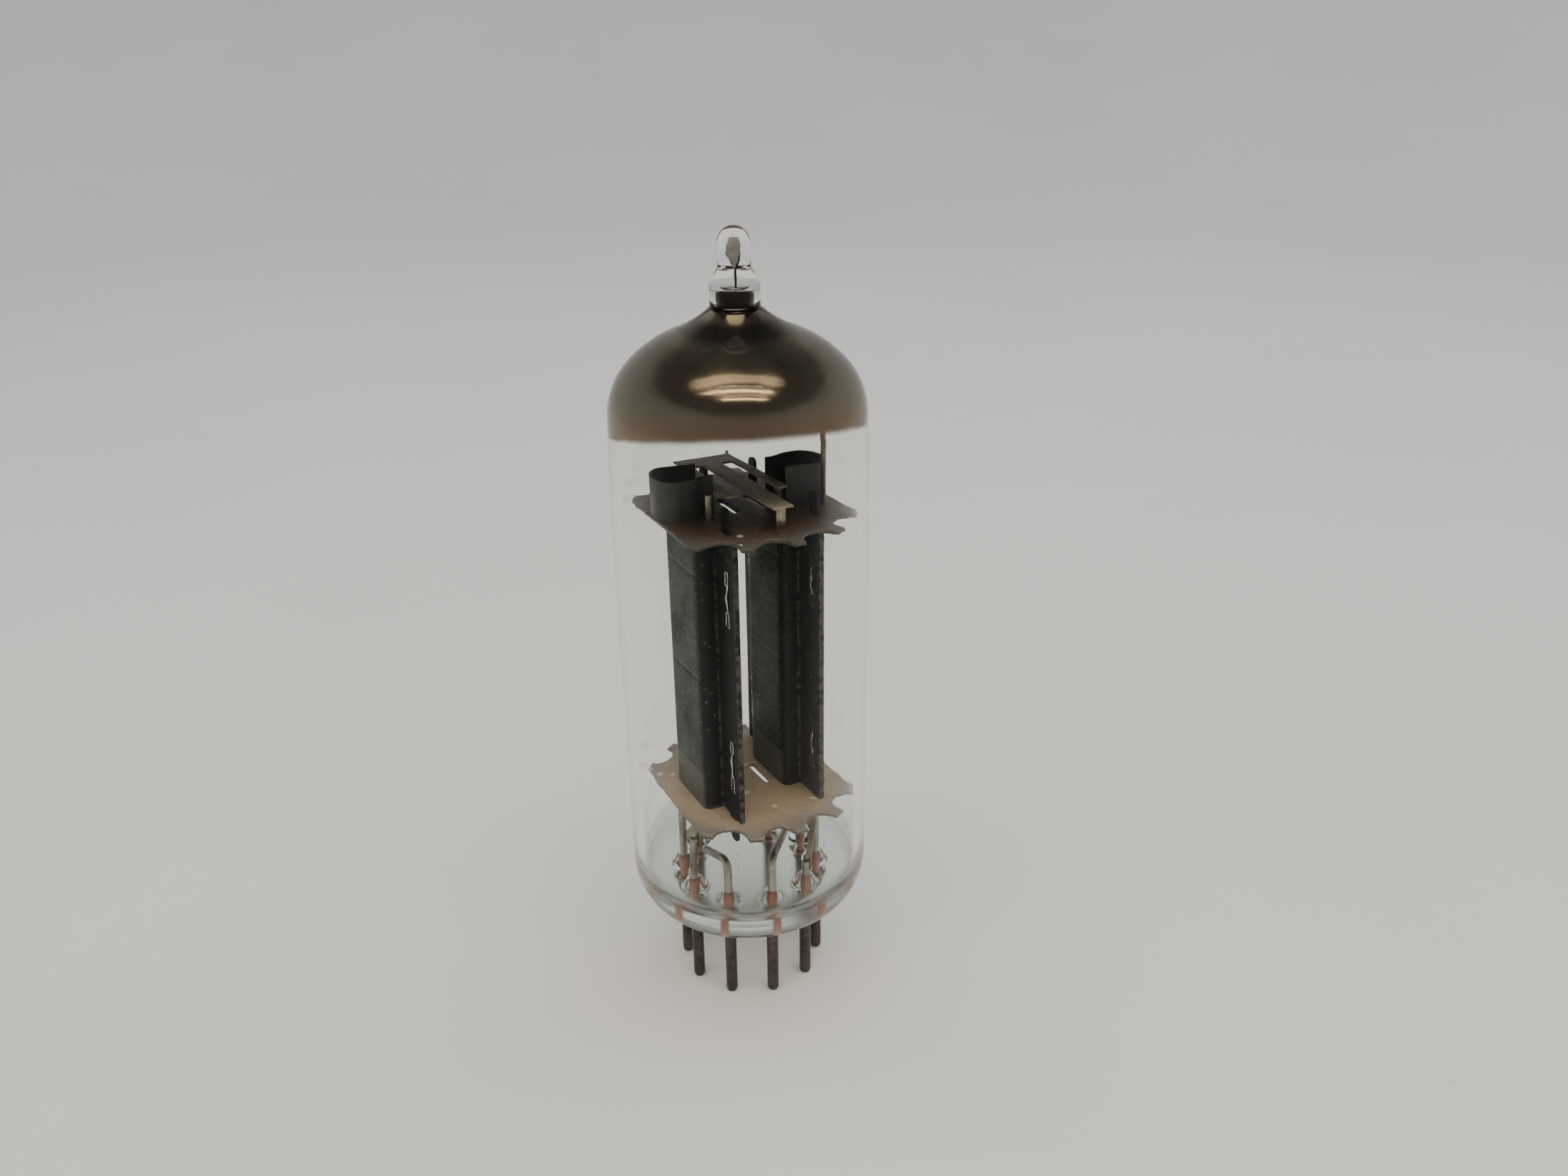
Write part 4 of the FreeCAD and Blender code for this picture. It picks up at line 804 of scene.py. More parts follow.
def nib_line():
    """The tip from its stem up: straight, a full curve in to the pinch, then a rounded nib."""
    s = sizes()
    foot = tip_foot()
    stem = blend_points((s.stem, foot), (s.stem, foot + 1.55 * MM), 5)
    pinch = blend_points((s.stem, foot + 1.6 * MM), (s.nib + 0.05 * MM, foot + 2.86 * MM), 10, 0.09 * MM)
    nib = blend_points((s.nib, foot + 2.95 * MM), (s.nib - 0.02 * MM, TOP - s.nib * 1.02), 7, 0.02 * MM)
    cap = arc_points((0.0, TOP - s.nib), s.nib - 0.02 * MM, 2, 90, 14)
    cap[:, 1] += 0.02 * MM
    cap[-1, 0] = 0.0
    return np.concatenate([stem, pinch, nib, cap])


def outer_line():
    """The whole outside as (radius, level), from the middle of the underside up to the tip's end."""
    s = sizes()
    radii = np.concatenate([np.linspace(0, 4.4, 8), np.linspace(4.6, 7.35, 40)]) * MM
    under = np.stack([radii, np.full(len(radii), s.button_bottom)], 1)
    dome = dome_line(0.0)[::-1]
    shoulder = dome[0][1]
    low = s.button_bottom + BUTTON_EDGE_HEIGHT
    body = blend_points((BULB_R, low + 0.4 * MM), (BULB_R, shoulder - s.taper_length), 26)
    taper = blend_points((BULB_R, shoulder - s.taper_length * 0.93), (dome[0][0], shoulder - 0.2 * MM), 8)
    return np.concatenate([under, edge_line(), body, taper, dome[:-1], nib_line()])


def inner_line():
    """The whole inside as (radius, level), from the cavity in the tip down to the middle of the floor."""
    s = sizes()
    foot = tip_foot()
    cavity = s.stem - s.tip_wall
    top = np.array([[0.0, foot + 1.55 * MM], [cavity - 0.35 * MM, foot + 1.55 * MM],
                    [cavity - 0.12 * MM, foot + 1.45 * MM], [cavity, foot + 1.2 * MM],
                    [cavity, foot + 0.3 * MM]])
    dome = dome_line(s.wall)
    inside = BULB_R - s.wall
    low = s.button_bottom + 4.45 * MM
    taper = blend_points(dome[-1], (inside, dome[-1][1] - s.taper_length), 8)[1:]
    body = blend_points((inside, taper[-1][1] - 1 * MM), (inside, low), 26)
    corner = arc_points((inside - 2.0 * MM, s.button_top + 2.05 * MM), 2.0 * MM, 0, -90, 10)[1:]
    radii = np.concatenate([np.linspace(7.3, 4.6, 40), np.linspace(4.4, 0, 8)]) * MM
    floor = np.stack([radii, np.full(len(radii), s.button_top)], 1)
    return np.concatenate([top, dome, taper, body, corner, floor])


def mounds(grid, rise, near, far):
    """Adds a smooth mound of the given rise round every pin's axis, full inside near and gone beyond far."""
    for number in PINS:
        away = np.hypot(grid[..., 0] - pin_place(number)[0], grid[..., 1] - pin_place(number)[1])
        share = np.clip((far - away) / (far - near), 0, 1)
        grid[..., 2] += rise * share * share * (3 - 2 * share)


def bore_leaf(fill=1.0):
    """The flat collapsed bore in the nib: a ribbon whose half width swells like a leaf and wavers."""
    foot = tip_foot()
    share = np.linspace(0, 1, 36)
    level = foot + 1.75 * MM + (share * fill + (1 - fill) / 2) * 3.3 * MM
    swell = 0.36 * np.clip((share - 0.3) / 0.35, 0, 1) ** 1.3
    half = 0.05 + swell - 0.12 * np.clip((share - 0.8) / 0.2, 0, 1)
    half = half * MM * (1 + 0.08 * np.sin(share * 31)) * fill
    thick = np.full_like(half, 0.07 * MM * fill)
    turn = np.linspace(0, 2 * np.pi, 20, endpoint=False)
    x = 0.03 * MM * np.sin(share * 7)[:, None] + half[:, None] * np.cos(turn)
    y = thick[:, None] * np.sin(turn) + 0.05 * MM * np.sin(share * 5)[:, None]
    z = np.repeat(level[:, None], len(turn), 1)
    return closed_ends(np.stack([x, y, z], 2)[::-1])


class TUBE_OT_glass(bpy.types.Operator):
    """Builds the glass: bulb, tip and base melted into one, with the pinched bore in the tip"""
    bl_idname = "tube.glass"
    bl_label = "Glass"

    def execute(self, context):
        steps = context.scene.tube_stage.samples_round
        outside = revolved(outer_line(), steps)
        below = outside[:, :, 2] < sizes().button_bottom + 0.2 * MM
        lowered = outside.copy()
        mounds(lowered, -(sizes().button_bottom - 6.4 * MM), 0.58 * MM, 1.05 * MM)
        outside = np.where(below[..., None], lowered, outside)
        inside = revolved(inner_line(), steps)
        floor = inside[:, :, 2] < sizes().button_top + 0.2 * MM
        raised = inside.copy()
        mounds(raised, sizes().mound, 0.42 * MM, 1.25 * MM)
        inside = np.where(floor[..., None], raised, inside)
        mesh = mesh_from_grids("glass_envelope", [outside, inside, bore_leaf()])
        tidy_mesh(mesh, 60, outwards=False)
        place(mesh, "glass_envelope", glass_look(), ["glass_bulb", "glass_button"])
        return {"FINISHED"}


class TUBE_OT_mirror(bpy.types.Operator):
    """Builds the getter's mirror inside the dome and the dark plug in the tip"""
    bl_idname = "tube.mirror"
    bl_label = "Getter mirror"

    def execute(self, context):
        s = sizes()
        outer = self.film_side(s.wall - 0.05 * MM)
        inner = self.film_side(s.wall - 0.02 * MM)
        shell = np.concatenate([outer, inner[::-1], outer[:1]])
        piece_of("getter_mirror", [shell], film_look(), ["getter_film"], sharp=60)
        self.plug()
        return {"FINISHED"}

    def film_side(self, offset, steps=192, rows=64):
        """Points down the dome's inside to a slanted, slightly wavy edge, evenly spaced along each line."""
        dome = dome_line(offset, 24)
        end = dome[-1]
        below = blend_points(end, (end[0] + sizes().taper, end[1] - sizes().taper_length), 20)[1:]
        line = np.concatenate([dome, below])
        run = np.concatenate([[0], np.cumsum(np.hypot(*np.diff(line, axis=0).T))])
        turn = np.linspace(0, 2 * np.pi, steps, endpoint=False)
        ring = np.stack([9.25 * MM * np.cos(turn), 9.25 * MM * np.sin(turn), np.zeros(steps)], 1)
        level = FILM_EDGE + FILM_SLANT_X * ring[:, 0] - FILM_SLANT_Y * ring[:, 1] - 0.25 * MM
        level = level + 0.12 * MM * waves(ring, 6 * MM, 4)
        last = np.interp(-level, -line[:, 1], run)
        at = np.linspace(0, 1, rows)[:, None] * last[None]
        radius = np.interp(at, run, line[:, 0])
        return np.stack([radius * np.cos(turn), radius * np.sin(turn), np.interp(at, run, line[:, 1])], 2)

    def plug(self):
        """The dark plug that fills the tip's stem, with its thread, and the pale haze in the flat bore."""
        s = sizes()
        foot = tip_foot()
        radius = s.stem - s.tip_wall - 0.03 * MM
        side = np.array([[0.0, foot + 0.02 * MM], [radius - 0.05 * MM, foot + 0.02 * MM],
                         [radius, foot + 0.3 * MM],
                         [radius - 0.01 * MM, foot + 1.1 * MM], [radius - 0.14 * MM, foot + 1.38 * MM],
                         [radius - 0.4 * MM, foot + 1.44 * MM], [0.0, foot + 1.44 * MM]])
        grid = revolved(side, 64)
        grid[..., 2] -= 0.05 * np.clip(grid[..., 0], 0, 1) * (grid[..., 2] > foot + 1 * MM)
        black = colours().deposit
        look = metal("Dark deposit", black, shade(black, 1.5), (0.4, 0.6), 0.0, 700.0, 0.3)
        look.node_tree.nodes["Principled BSDF"].inputs["Specular IOR Level"].default_value = 0.1
        piece_of("tip_plug", [grid, self.thread()], look, ["tip_deposit"])
        haze = metal("Bore haze", (0.30, 0.30, 0.29), (0.16, 0.155, 0.15), (0.6, 0.8), 0.0, 900.0, 0.3)
        piece_of("tip_leaf", [bore_leaf(0.92)], haze)

    def thread(self):
        """A thin dark thread of deposit from the plug up into the collapsed bore, beaded along the leaf."""
        foot = tip_foot()
        share = np.linspace(0, 1, 60)
        level = foot + 1.35 * MM + share * 3.4 * MM
        away = np.clip((share - 0.32) / 0.3, 0, 1)
        x = 0.05 * MM + 0.22 * MM * away + 0.02 * MM * np.sin(share * 9)
        path = np.stack([x, -0.02 * MM * np.sin(share * 6), level], 1)
        beads = 1 - 0.45 * away * (0.5 + 0.5 * np.sin(share * 90))
        return closed_ends(swept(path, round_section(0.055 * MM, 10), beads, across=(1.0, 0.0, 0.0)))


# ---- base -------------------------------------------------------------------------------------------
class TUBE_OT_pins(bpy.types.Operator):
    """Builds the nine pins and the wires that carry them on through the glass"""
    bl_idname = "tube.pins"
    bl_label = "Pins"

    def execute(self, context):
        s = sizes()
        brown = colours().pin
        look = metal("Oxidised pin", brown, shade(brown, 3.2), (0.3, 0.6), 0.75, 500.0, 0.35, 0.35)
        seat = 6.35 * MM
        rounded_end = arc_points((s.pin_radius - 0.34 * MM, 0.34 * MM), 0.34 * MM, -90, 0, 9)
        side = blend_points((s.pin_radius, 0.5 * MM), (s.pin_radius, seat - 0.03 * MM), 24)
        neck = np.array([[s.pin_radius - 0.03 * MM, seat], [0.45 * MM, seat + 0.02 * MM],
                         [0.44 * MM, PIN_TOP - 0.05 * MM], [0.38 * MM, PIN_TOP], [0.0, PIN_TOP]])
        line = np.concatenate([[[0.0, 0.0]], rounded_end, side, neck])
        for number in PINS:
            grid = revolved(line, 40, pin_place(number)[:2])
            dents = waves(grid.reshape(-1, 3), 0.9 * MM, number).reshape(grid.shape[:2])
            middle = row(*pin_place(number)[:2], 0)
            arm = (grid - middle) * row(1, 1, 0)
            grid = grid - arm * (0.012 * (1 + dents))[..., None]
            name = "pin_" + str(number)
            piece_of("base_" + name, [grid], look, [name])
        self.seals()
        return {"FINISHED"}

    def seals(self):
        """Nine thin upright wires, one above each pin, a little thinner at their upper ends."""
        s = sizes()
        line = np.array([[0.0, PIN_TOP], [s.seal_radius, PIN_TOP + 0.02 * MM],
                         [s.seal_radius, SEAL_TOP - 0.1 * MM], [s.seal_radius * 0.8, SEAL_TOP],
                         [0.0, SEAL_TOP]])
        grids = [revolved(line, 24, pin_place(number)[:2]) for number in PINS]
        look = metal("Seal wire", colours().seal, (0.50, 0.30, 0.24), (0.35, 0.6), 0.2, 900.0, 0.2)
        piece_of("seal_wire_set", grids, look, ["seal_wires"])


class TUBE_OT_leads(bpy.types.Operator):
    """Builds the leads that rise from the base, the bridge between the heaters, and the straps"""
    bl_idname = "tube.leads"
    bl_label = "Leads and straps"

    def execute(self, context):
        s = sizes()
        glass_top = s.button_top + s.mound
        room = outer_room()
        under = HEATER_FOOT - s.lead_radius - 0.09 * MM
        bridge = BRIDGE_LEVEL - 0.21 * MM
        rod = caged([-s.unit_offset, s.rod_offset, 0.0])
        across = (rod - pin_place(2)) / np.linalg.norm(rod - pin_place(2))
        grid_end = rod - across * (s.rod_radius + 0.01 * MM) + UP * (MICA_LOW - 0.7 * MM)
        inwards = caged([-s.unit_offset, 0.0, 0.0]) - pin_place(3)
        lean = pin_place(3, MICA_LOW - 3.6 * MM) + inwards / np.linalg.norm(inwards) * 0.05 * room
        left_foot = caged([-s.unit_offset - HEATER_SPREAD * room, -HEATER_SIDE, under])
        routes = {
            1: [pin_place(1, glass_top + 1.2 * MM)],
            2: [pin_place(2, grid_end[2]), grid_end],
            3: [pin_place(3, glass_top + 0.6 * MM), lean],
            4: [pin_place(4, glass_top + 3.1 * MM), left_foot],
            5: [pin_place(5, glass_top + 3.1 * MM), half_turn(left_foot)],
            9: [pin_place(9, glass_top + 1.55 * MM),
                row(0, 0, bridge - 0.2 * MM - s.lead_radius - 0.01 * MM)],
        }
        for number, points in routes.items():
            grid = wire_grid([pin_place(number, SEAL_TOP)] + points, s.lead_radius, 1.3 * MM)
            self.lead(number, grid)
            if number < 4:
                self.lead(number + 5, half_turn(grid))
        ends = [caged([side * 4.0 * MM, -side * 0.216 * MM, bridge]) for side in (-1, 1)]
        piece_of("heater_bridge_wire", [wire_grid(ends, 0.2 * MM)], nickel(), ["heater_bridge"])
        for node in ("anode_strap", "grid_strap", "cathode_strap"):
            for side in ("left_", "right_"):
                bevelled(side + node, side + node + "_ribbon", ribbon())
        return {"FINISHED"}

    def lead(self, number, grid):
        name = "lead_" + str(number)
        piece_of(name + "_wire", [grid], nickel(), [name])


# ---- cage -------------------------------------------------------------------------------------------
def rounded_loop(corners, step=0.25 * MM, steps=6):
    """A closed plan outline through corners (x, y, radius): an arc at each, and even points between."""
    corners = [row(*c) for c in corners]
    parts = []
    for before, corner, after in zip(corners[-1:] + corners[:-1], corners, corners[1:] + corners[:1]):
        into = (corner - before)[:2] / np.hypot(*(corner - before)[:2])
        out = (after - corner)[:2] / np.hypot(*(after - corner)[:2])
        if corner[2] == 0:
            parts.append(corner[None, :2])
            continue
        share = np.linspace(0, 1, steps)[:, None]
        start = corner[:2] - into * corner[2]
        end = corner[:2] + out * corner[2]
        middle = start + out * corner[2]
        turn = share * np.pi / 2
        parts.append(middle + (start - middle) * np.cos(turn) + (end - middle) * np.sin(turn))
    loop = []
    for part, following in zip(parts, parts[1:] + parts[:1]):
        gap = np.hypot(*(following[0] - part[-1]))
        count = max(1, int(gap / step))
        fill = np.linspace(0, 1, count, endpoint=False)[1:, None]
        loop += [part, part[-1] + (following[0] - part[-1]) * fill]
    return np.concatenate(loop)


def anode_loop(way):
    """The plan outline of half of the left anode: flange, channel and flange, bulging towards way."""
    s = sizes()
    inside = -s.unit_offset
    face = inside + way * s.sheet
    wall = inside + way * s.anode_width / 2
    inner_wall = wall - way * s.sheet
    depth = s.anode_depth / 2
    inner = depth - s.sheet
    outer_corner = s.anode_corner + s.sheet
    corners = [
        (inside, -s.flange, 0), (inside, -inner, 0), (inner_wall, -inner, s.anode_corner),
        (inner_wall, inner, s.anode_corner), (inside, inner, 0), (inside, s.flange, 0),
        (face, s.flange, 0), (face, depth, 0), (wall, depth, outer_corner),
        (wall, -depth, outer_corner), (face, -depth, 0), (face, -s.flange, 0)]
    # Corners that get the pale painted highlight and rubbed metal.
    highlight_and_wear_edges = [(wall, depth), (wall, -depth), (face, s.flange), (face, -s.flange), (inside, s.flange),
            (inside, -s.flange), (face, depth), (face, -depth)]
    return rounded_loop(corners), np.array(highlight_and_wear_edges)


def edge_values(points, highlight_and_wear_edges):
    """1 on the upright corners and the sheet's two ends, where the pale painted highlight and rubbed metal
    go, falling to 0 within a fifth of a millimetre.
    """
    apart = points[:, None, :2] - highlight_and_wear_edges[None]
    away = np.min(np.hypot(apart[..., 0], apart[..., 1]), axis=1)
    ends = np.minimum(np.abs(points[:, 2] - CAGE_LOW), np.abs(points[:, 2] - CAGE_HIGH))
    return np.clip(1 - np.minimum(away - 0.06 * MM, ends) / (0.14 * MM), 0, 1)


class TUBE_OT_anodes(bpy.types.Operator):
    """Builds both anodes, each of two halves with flanges and ears, and the crimps that hold them together"""
    bl_idname = "tube.anodes"
    bl_label = "Anodes"

    def execute(self, context):
        s = sizes()
        look = carbon_look()
        levels = np.linspace(CAGE_LOW + 0.01 * MM, CAGE_HIGH - 0.01 * MM, 70)
        for way, name in ((-1, "anode_outer"), (1, "anode_inner")):
            loop, highlight_and_wear_edges = anode_loop(way)
            grids = [loft(loop, levels, self.bow)]
            if way < 0:
                grids += self.ears()
            points = np.concatenate([grid.reshape(-1, 3) for grid in grids])
            edge = edge_values(points, highlight_and_wear_edges)
            wall = -s.unit_offset + way * s.anode_width / 2
            flat = np.clip(1 - np.abs(points[:, 0] - wall) / (0.12 * MM), 0, 1)
            for side, turned in both_units(*grids):
                mesh = mesh_from_grids(side + name, turned, caps=True)
                for label, values in (("edge", edge), ("wall", flat)):
                    layer = mesh.attributes.new(label, "FLOAT", "POINT")
                    layer.data.foreach_set("value", values.astype(np.float32))
                tidy_mesh(mesh, 28)
                place(mesh, side + name + "_sheet", look, [side + name])
        self.crimps()
        return {"FINISHED"}

    def bow(self, grid):
        """Moves the sheet sideways by up to four hundredths of a millimetre, in broad and fine waves."""
        sway = waves(grid.reshape(-1, 3), 9 * MM, 11).reshape(grid.shape[:2])
        ripple = waves(grid.reshape(-1, 3), 2.5 * MM, 12).reshape(grid.shape[:2])
        return np.stack([0.03 * MM * sway + 0.008 * MM * ripple, 0.02 * MM * sway, np.zeros_like(sway)], 2)

    def ears(self):
        """Rounded tongues past each mica: outlines in the sheet's plane, carried through its thickness."""
        s = sizes()
        grids = []
        half = s.ear_width / 2
        middle = s.flange - 0.65 * MM - half
        corner = 0.5 * MM
        inset = 0.012 * MM
        depth = np.array([-s.unit_offset - inset, -s.unit_offset - s.sheet + inset])
        for end in (-1, 1):
            for low, high in ((MICA_LOW - s.ear_height, CAGE_LOW + 0.4 * MM),
                              (CAGE_HIGH - 0.4 * MM, MICA_HIGH + s.ear_height)):
                near, far = end * middle - half, end * middle + half
                corners = [(y, z, corner) for y, z in ((near, low), (far, low), (far, high), (near, high))]
                loop = rounded_loop(corners, 0.3 * MM, 8)
                grid = np.zeros((2, len(loop), 3))
                grid[..., 0] = depth[:, None]
                grid[..., 1:] = loop[None]
                grids.append(grid)
        return grids

    def crimps(self):
        """For each crimp, on both faces of a flange: two torn window frames and a bright tab between them."""
        s = sizes()
        look = metal("Bright nickel", (0.72, 0.71, 0.67), (0.34, 0.33, 0.31), (0.18, 0.4), 1.0, 900.0, 0.3)
        grids = []
        seed = 0
        for end in (-1, 1):
            y = end * (s.flange - 1.1 * MM)
            for low in (CAGE_LOW + 2.6 * MM, CAGE_HIGH - 7.5 * MM):
                for face, x in ((-1, -s.unit_offset - s.sheet), (1, -s.unit_offset + s.sheet)):
                    seed += 1
                    grids += self.crimp(x + face * 0.035 * MM, face, y, low, seed)
        for side, turned in both_units(*grids):
            piece_of(side + "anode_crimps", turned, look, [side + "anode_staples"])

    def crimp(self, x, face, y, low, seed):
        """One crimp as thin wires: frames follow a rectangle that wavers, the tab a low arch."""
        grids = []
        for foot, height, half in ((low, 1.25 * MM, 0.27 * MM), (low + 3.6 * MM, 1.05 * MM, 0.22 * MM)):
            skew = 0.12 * MM * math.sin(seed * 2.3 + foot * 900)
            corners = [(y - half, foot), (y + half, foot + skew), (y + half * 0.8, foot + height),
                       (y - half * 0.9, foot + height - skew), (y - half, foot)]
            path = even_path(np.array([(x, a, b) for a, b in corners]), 0.06 * MM)
            path[:, 1] += 0.05 * MM * waves(path, 0.5 * MM, seed)
            path[:, 0] += face * 0.03 * MM * waves(path, 0.4 * MM, seed + 9)
            wire = flat_section(0.10 * MM, 0.10 * MM, 8)
            grids.append(closed_ends(swept(path, wire, across=(1.0, 0.2, 0.3))))
        share = np.linspace(0, 1, 24)
        path = np.stack([x + face * 0.09 * MM * np.sin(np.pi * share),
                         y + 0.05 * MM * np.sin(share * 9 + seed),
                         low + 1.2 * MM + share * 2.45 * MM], 1)
        width = 0.75 + 0.3 * np.sin(share * 11 + seed)
        tab = flat_section(0.32 * MM, 0.09 * MM, 12)
        grids.append(closed_ends(swept(path, tab, width, across=(0.0, 1.0, 0.0))))
        return grids


class TUBE_OT_micas(bpy.types.Operator):
    """Builds the two sprayed micas with ragged rims and the thin slotted one on its posts"""
    bl_idname = "tube.micas"
    bl_label = "Micas"

    def execute(self, context):
        tan = colours().mica
        low = mica_look("Lower mica", tan, (0.17, 0.152, 0.142), 0.2)
        high = mica_look("Upper mica", (0.070, 0.044, 0.031), (0.072, 0.068, 0.064), 0.12)
        thin = mica_look("Slotted mica", (0.38, 0.32, 0.26), (0.20, 0.16, 0.12), 0.0)
        self.sheet("lower_mica", low, 0.11 * MM, 0.13, 21)
        self.sheet("upper_mica", high, 0.11 * MM, 0.13, 22)
        self.sheet("slotted_mica", thin, 0.075 * MM, 0.03, 23)
        bevelled("shield_posts", "shield_post_pair", ribbon())
        return {"FINISHED"}

    def sheet(self, node, look, voxel, ragged, seed):
        """The plate remeshed fine and even, its points then moved by smooth noise, most of all at its rim."""
        piece = place(merged_copy(node), node + "_sheet", look, [node])
        even = piece.modifiers.new("Even mesh", "REMESH")
        even.mode = "VOXEL"
        even.voxel_size = voxel
        applied(piece)
        mesh = piece.data
        points = points_of(mesh)
        out = np.hypot(points[:, 0], points[:, 1])
        rim = np.clip((out - 6.8 * MM) / (1.5 * MM), 0, 1)
        points[:, 0] += ragged * MM * rim * waves(points, 0.9 * MM, seed)
        points[:, 1] += ragged * MM * rim * waves(points, 0.7 * MM, seed + 5)
        points[:, 2] += 0.02 * MM * waves(points, 1.1 * MM, seed + 7)
        points[:, 2] -= 1.6 * ragged * MM * rim ** 2 * (0.5 + 0.5 * waves(points, 3.5 * MM, seed + 8))
        set_points(mesh, points)
        mesh.materials.clear()
        mesh.materials.append(look)
        mesh.shade_smooth()


class TUBE_OT_grids(bpy.types.Operator):
    """Builds the grids' rods, windings and cooling fins"""
    bl_idname = "tube.grids"
    bl_label = "Grids"

    def execute(self, context):
        s = sizes()
        x = -s.unit_offset
        ends = (MICA_LOW - 1.4 * MM, MICA_HIGH + 2 * MM)
        rods = [wire_grid([(x, y, level) for level in ends], s.rod_radius)
                for y in (-s.rod_offset, s.rod_offset)]
        rod_look = metal("Grid rod", (0.52, 0.43, 0.35), (0.24, 0.20, 0.18), (0.25, 0.5), stretch=(1, 1, 0.1))
        wire_look = metal("Winding wire", (0.55, 0.50, 0.43), (0.33, 0.29, 0.25), (0.25, 0.4))
        fin_look = metal("Dark fin", (0.026, 0.029, 0.033), (0.060, 0.060, 0.058), (0.35, 0.6), 0.4, 380.0,
                         0.25, 0.25)
        fin = loft(self.fin_loop(), np.linspace(MICA_HIGH + 0.01 * MM, MICA_HIGH + s.radiator_height, 14))
        for side, (*pair, coil, sheet) in both_units(*rods, self.winding(), fin):
            piece_of(side + "rod_pair", pair, rod_look, [side + "grid_rods"])
            piece_of(side + "winding_wire", [coil], wire_look, [side + "grid_winding"])
            piece_of(side + "fin", [sheet], fin_look, [side + "grid_radiator"],
                     caps=True, sharp=40)
        return {"FINISHED"}

    def winding(self):
        """A helix: the angle grows evenly with height while the point runs round an oval outside the rods."""
        s = sizes()
        turns = 30
        turn = np.linspace(0, 2 * np.pi * turns, turns * 36)
        x = -s.unit_offset + 0.91 * MM * np.cos(turn)
        y = (s.rod_offset + s.rod_radius + 0.05 * MM) * np.sin(turn)
        z = np.linspace(CAGE_LOW + 0.8 * MM, CAGE_HIGH - 0.8 * MM, len(turn))
        path = np.stack([x, y, z], 1)
        return closed_ends(swept(path, round_section(0.04 * MM, 6), across=(0.0, 0.0, 1.0)))

    def fin_loop(self):
        """The fin's plan outline: a smooth curve through its bends, moved to both sides by half a sheet."""
        s = sizes()
        wall = s.rod_offset + s.rod_radius + 0.14 * MM
        x = -s.unit_offset
        side = x - 2.0 * MM
        half_way = (x + side) / 2
        lip = x + 0.85 * MM
        swell = wall + 0.45 * MM
        back = -1.3 * MM
        rear_lip = -0.95 * MM
        bends = [(lip, wall), (x, wall), (half_way, wall + 0.24 * MM), (side, swell)]
        front = self.smooth(np.array(bends), 8)
        turn = np.linspace(0, np.pi, 30)
        nose = np.stack([side - (s.radiator_reach - 2.0 * MM) * np.sin(turn),
                         (swell + back) / 2 + (swell - back) / 2 * np.cos(turn)], 1)
        bends = [(side, back), (half_way, back), (x, rear_lip), (lip, rear_lip)]
        rear = self.smooth(np.array(bends), 8)
        line = np.concatenate([front[:-1], nose, rear[1:]])
        ahead = np.gradient(line, axis=0)
        ahead /= np.hypot(*ahead.T)[:, None]
        across = np.stack([-ahead[:, 1], ahead[:, 0]], 1) * s.sheet / 2
        return np.concatenate([line + across, (line - across)[::-1]])

    def smooth(self, points, steps):
        """A Catmull-Rom curve: between two points, a cubic whose end slopes follow their neighbours."""
        padded = np.concatenate([2 * points[:1] - points[1:2], points, 2 * points[-1:] - points[-2:-1]])
        t = np.linspace(0, 1, steps, endpoint=False)[None, :, None]
        a, b, c, d = (padded[k:len(padded) - 3 + k, None] for k in range(4))
        curve = 0.5 * (2 * b + (c - a) * t + (2 * a - 5 * b + 4 * c - d) * t ** 2
                       + (3 * b - a - 3 * c + d) * t ** 3)
        return np.concatenate([curve.reshape(-1, 2), points[-1:]])


class TUBE_OT_cathodes(bpy.types.Operator):
    """Builds the cathodes' sleeves and the folded, coated heaters inside them"""
    bl_idname = "tube.cathodes"
    bl_label = "Cathodes and heaters"

    def execute(self, context):
        s = sizes()
        low = MICA_LOW - 1.0 * MM
        high = MICA_HIGH + 0.8 * MM
        r = s.cathode_radius
        t = 0.08 * MM
        levels = np.linspace(low, high, 40)
        outside = np.stack([np.full(40, r), levels], 1)
        inside = np.stack([np.full(40, r - t), levels[::-1]], 1)
        line = np.concatenate([outside, [[r - 0.3 * t, high + 0.01 * MM]], inside,
                               [[r - 0.7 * t, low - 0.01 * MM]], outside[:1]])
        x = -s.unit_offset
        sleeve = revolved(line, 48, (x, 0.0))
        foot = x - HEATER_SPREAD * outer_room()
        route = [(foot, -HEATER_SIDE, HEATER_FOOT), (x, -HEATER_SIDE, low - 0.4 * MM),
                 (x, -HEATER_SIDE, MICA_HIGH), (x, HEATER_SIDE, MICA_HIGH), (x, HEATER_SIDE, BRIDGE_LEVEL)]
        heater = wire_grid(route, s.heater_radius, 0.18 * MM, 12)
        sleeve_look = metal("Cathode sleeve", (0.56, 0.53, 0.48), (0.32, 0.30, 0.27), (0.25, 0.45))
        coating = coated_look()
        for side, (tube, wire) in both_units(sleeve, heater):
            piece_of(side + "cathode_sleeve", [tube], sleeve_look, [side + "cathode"])
            piece_of(side + "heater_wire", [wire], coating, [side + "heater"])
        return {"FINISHED"}


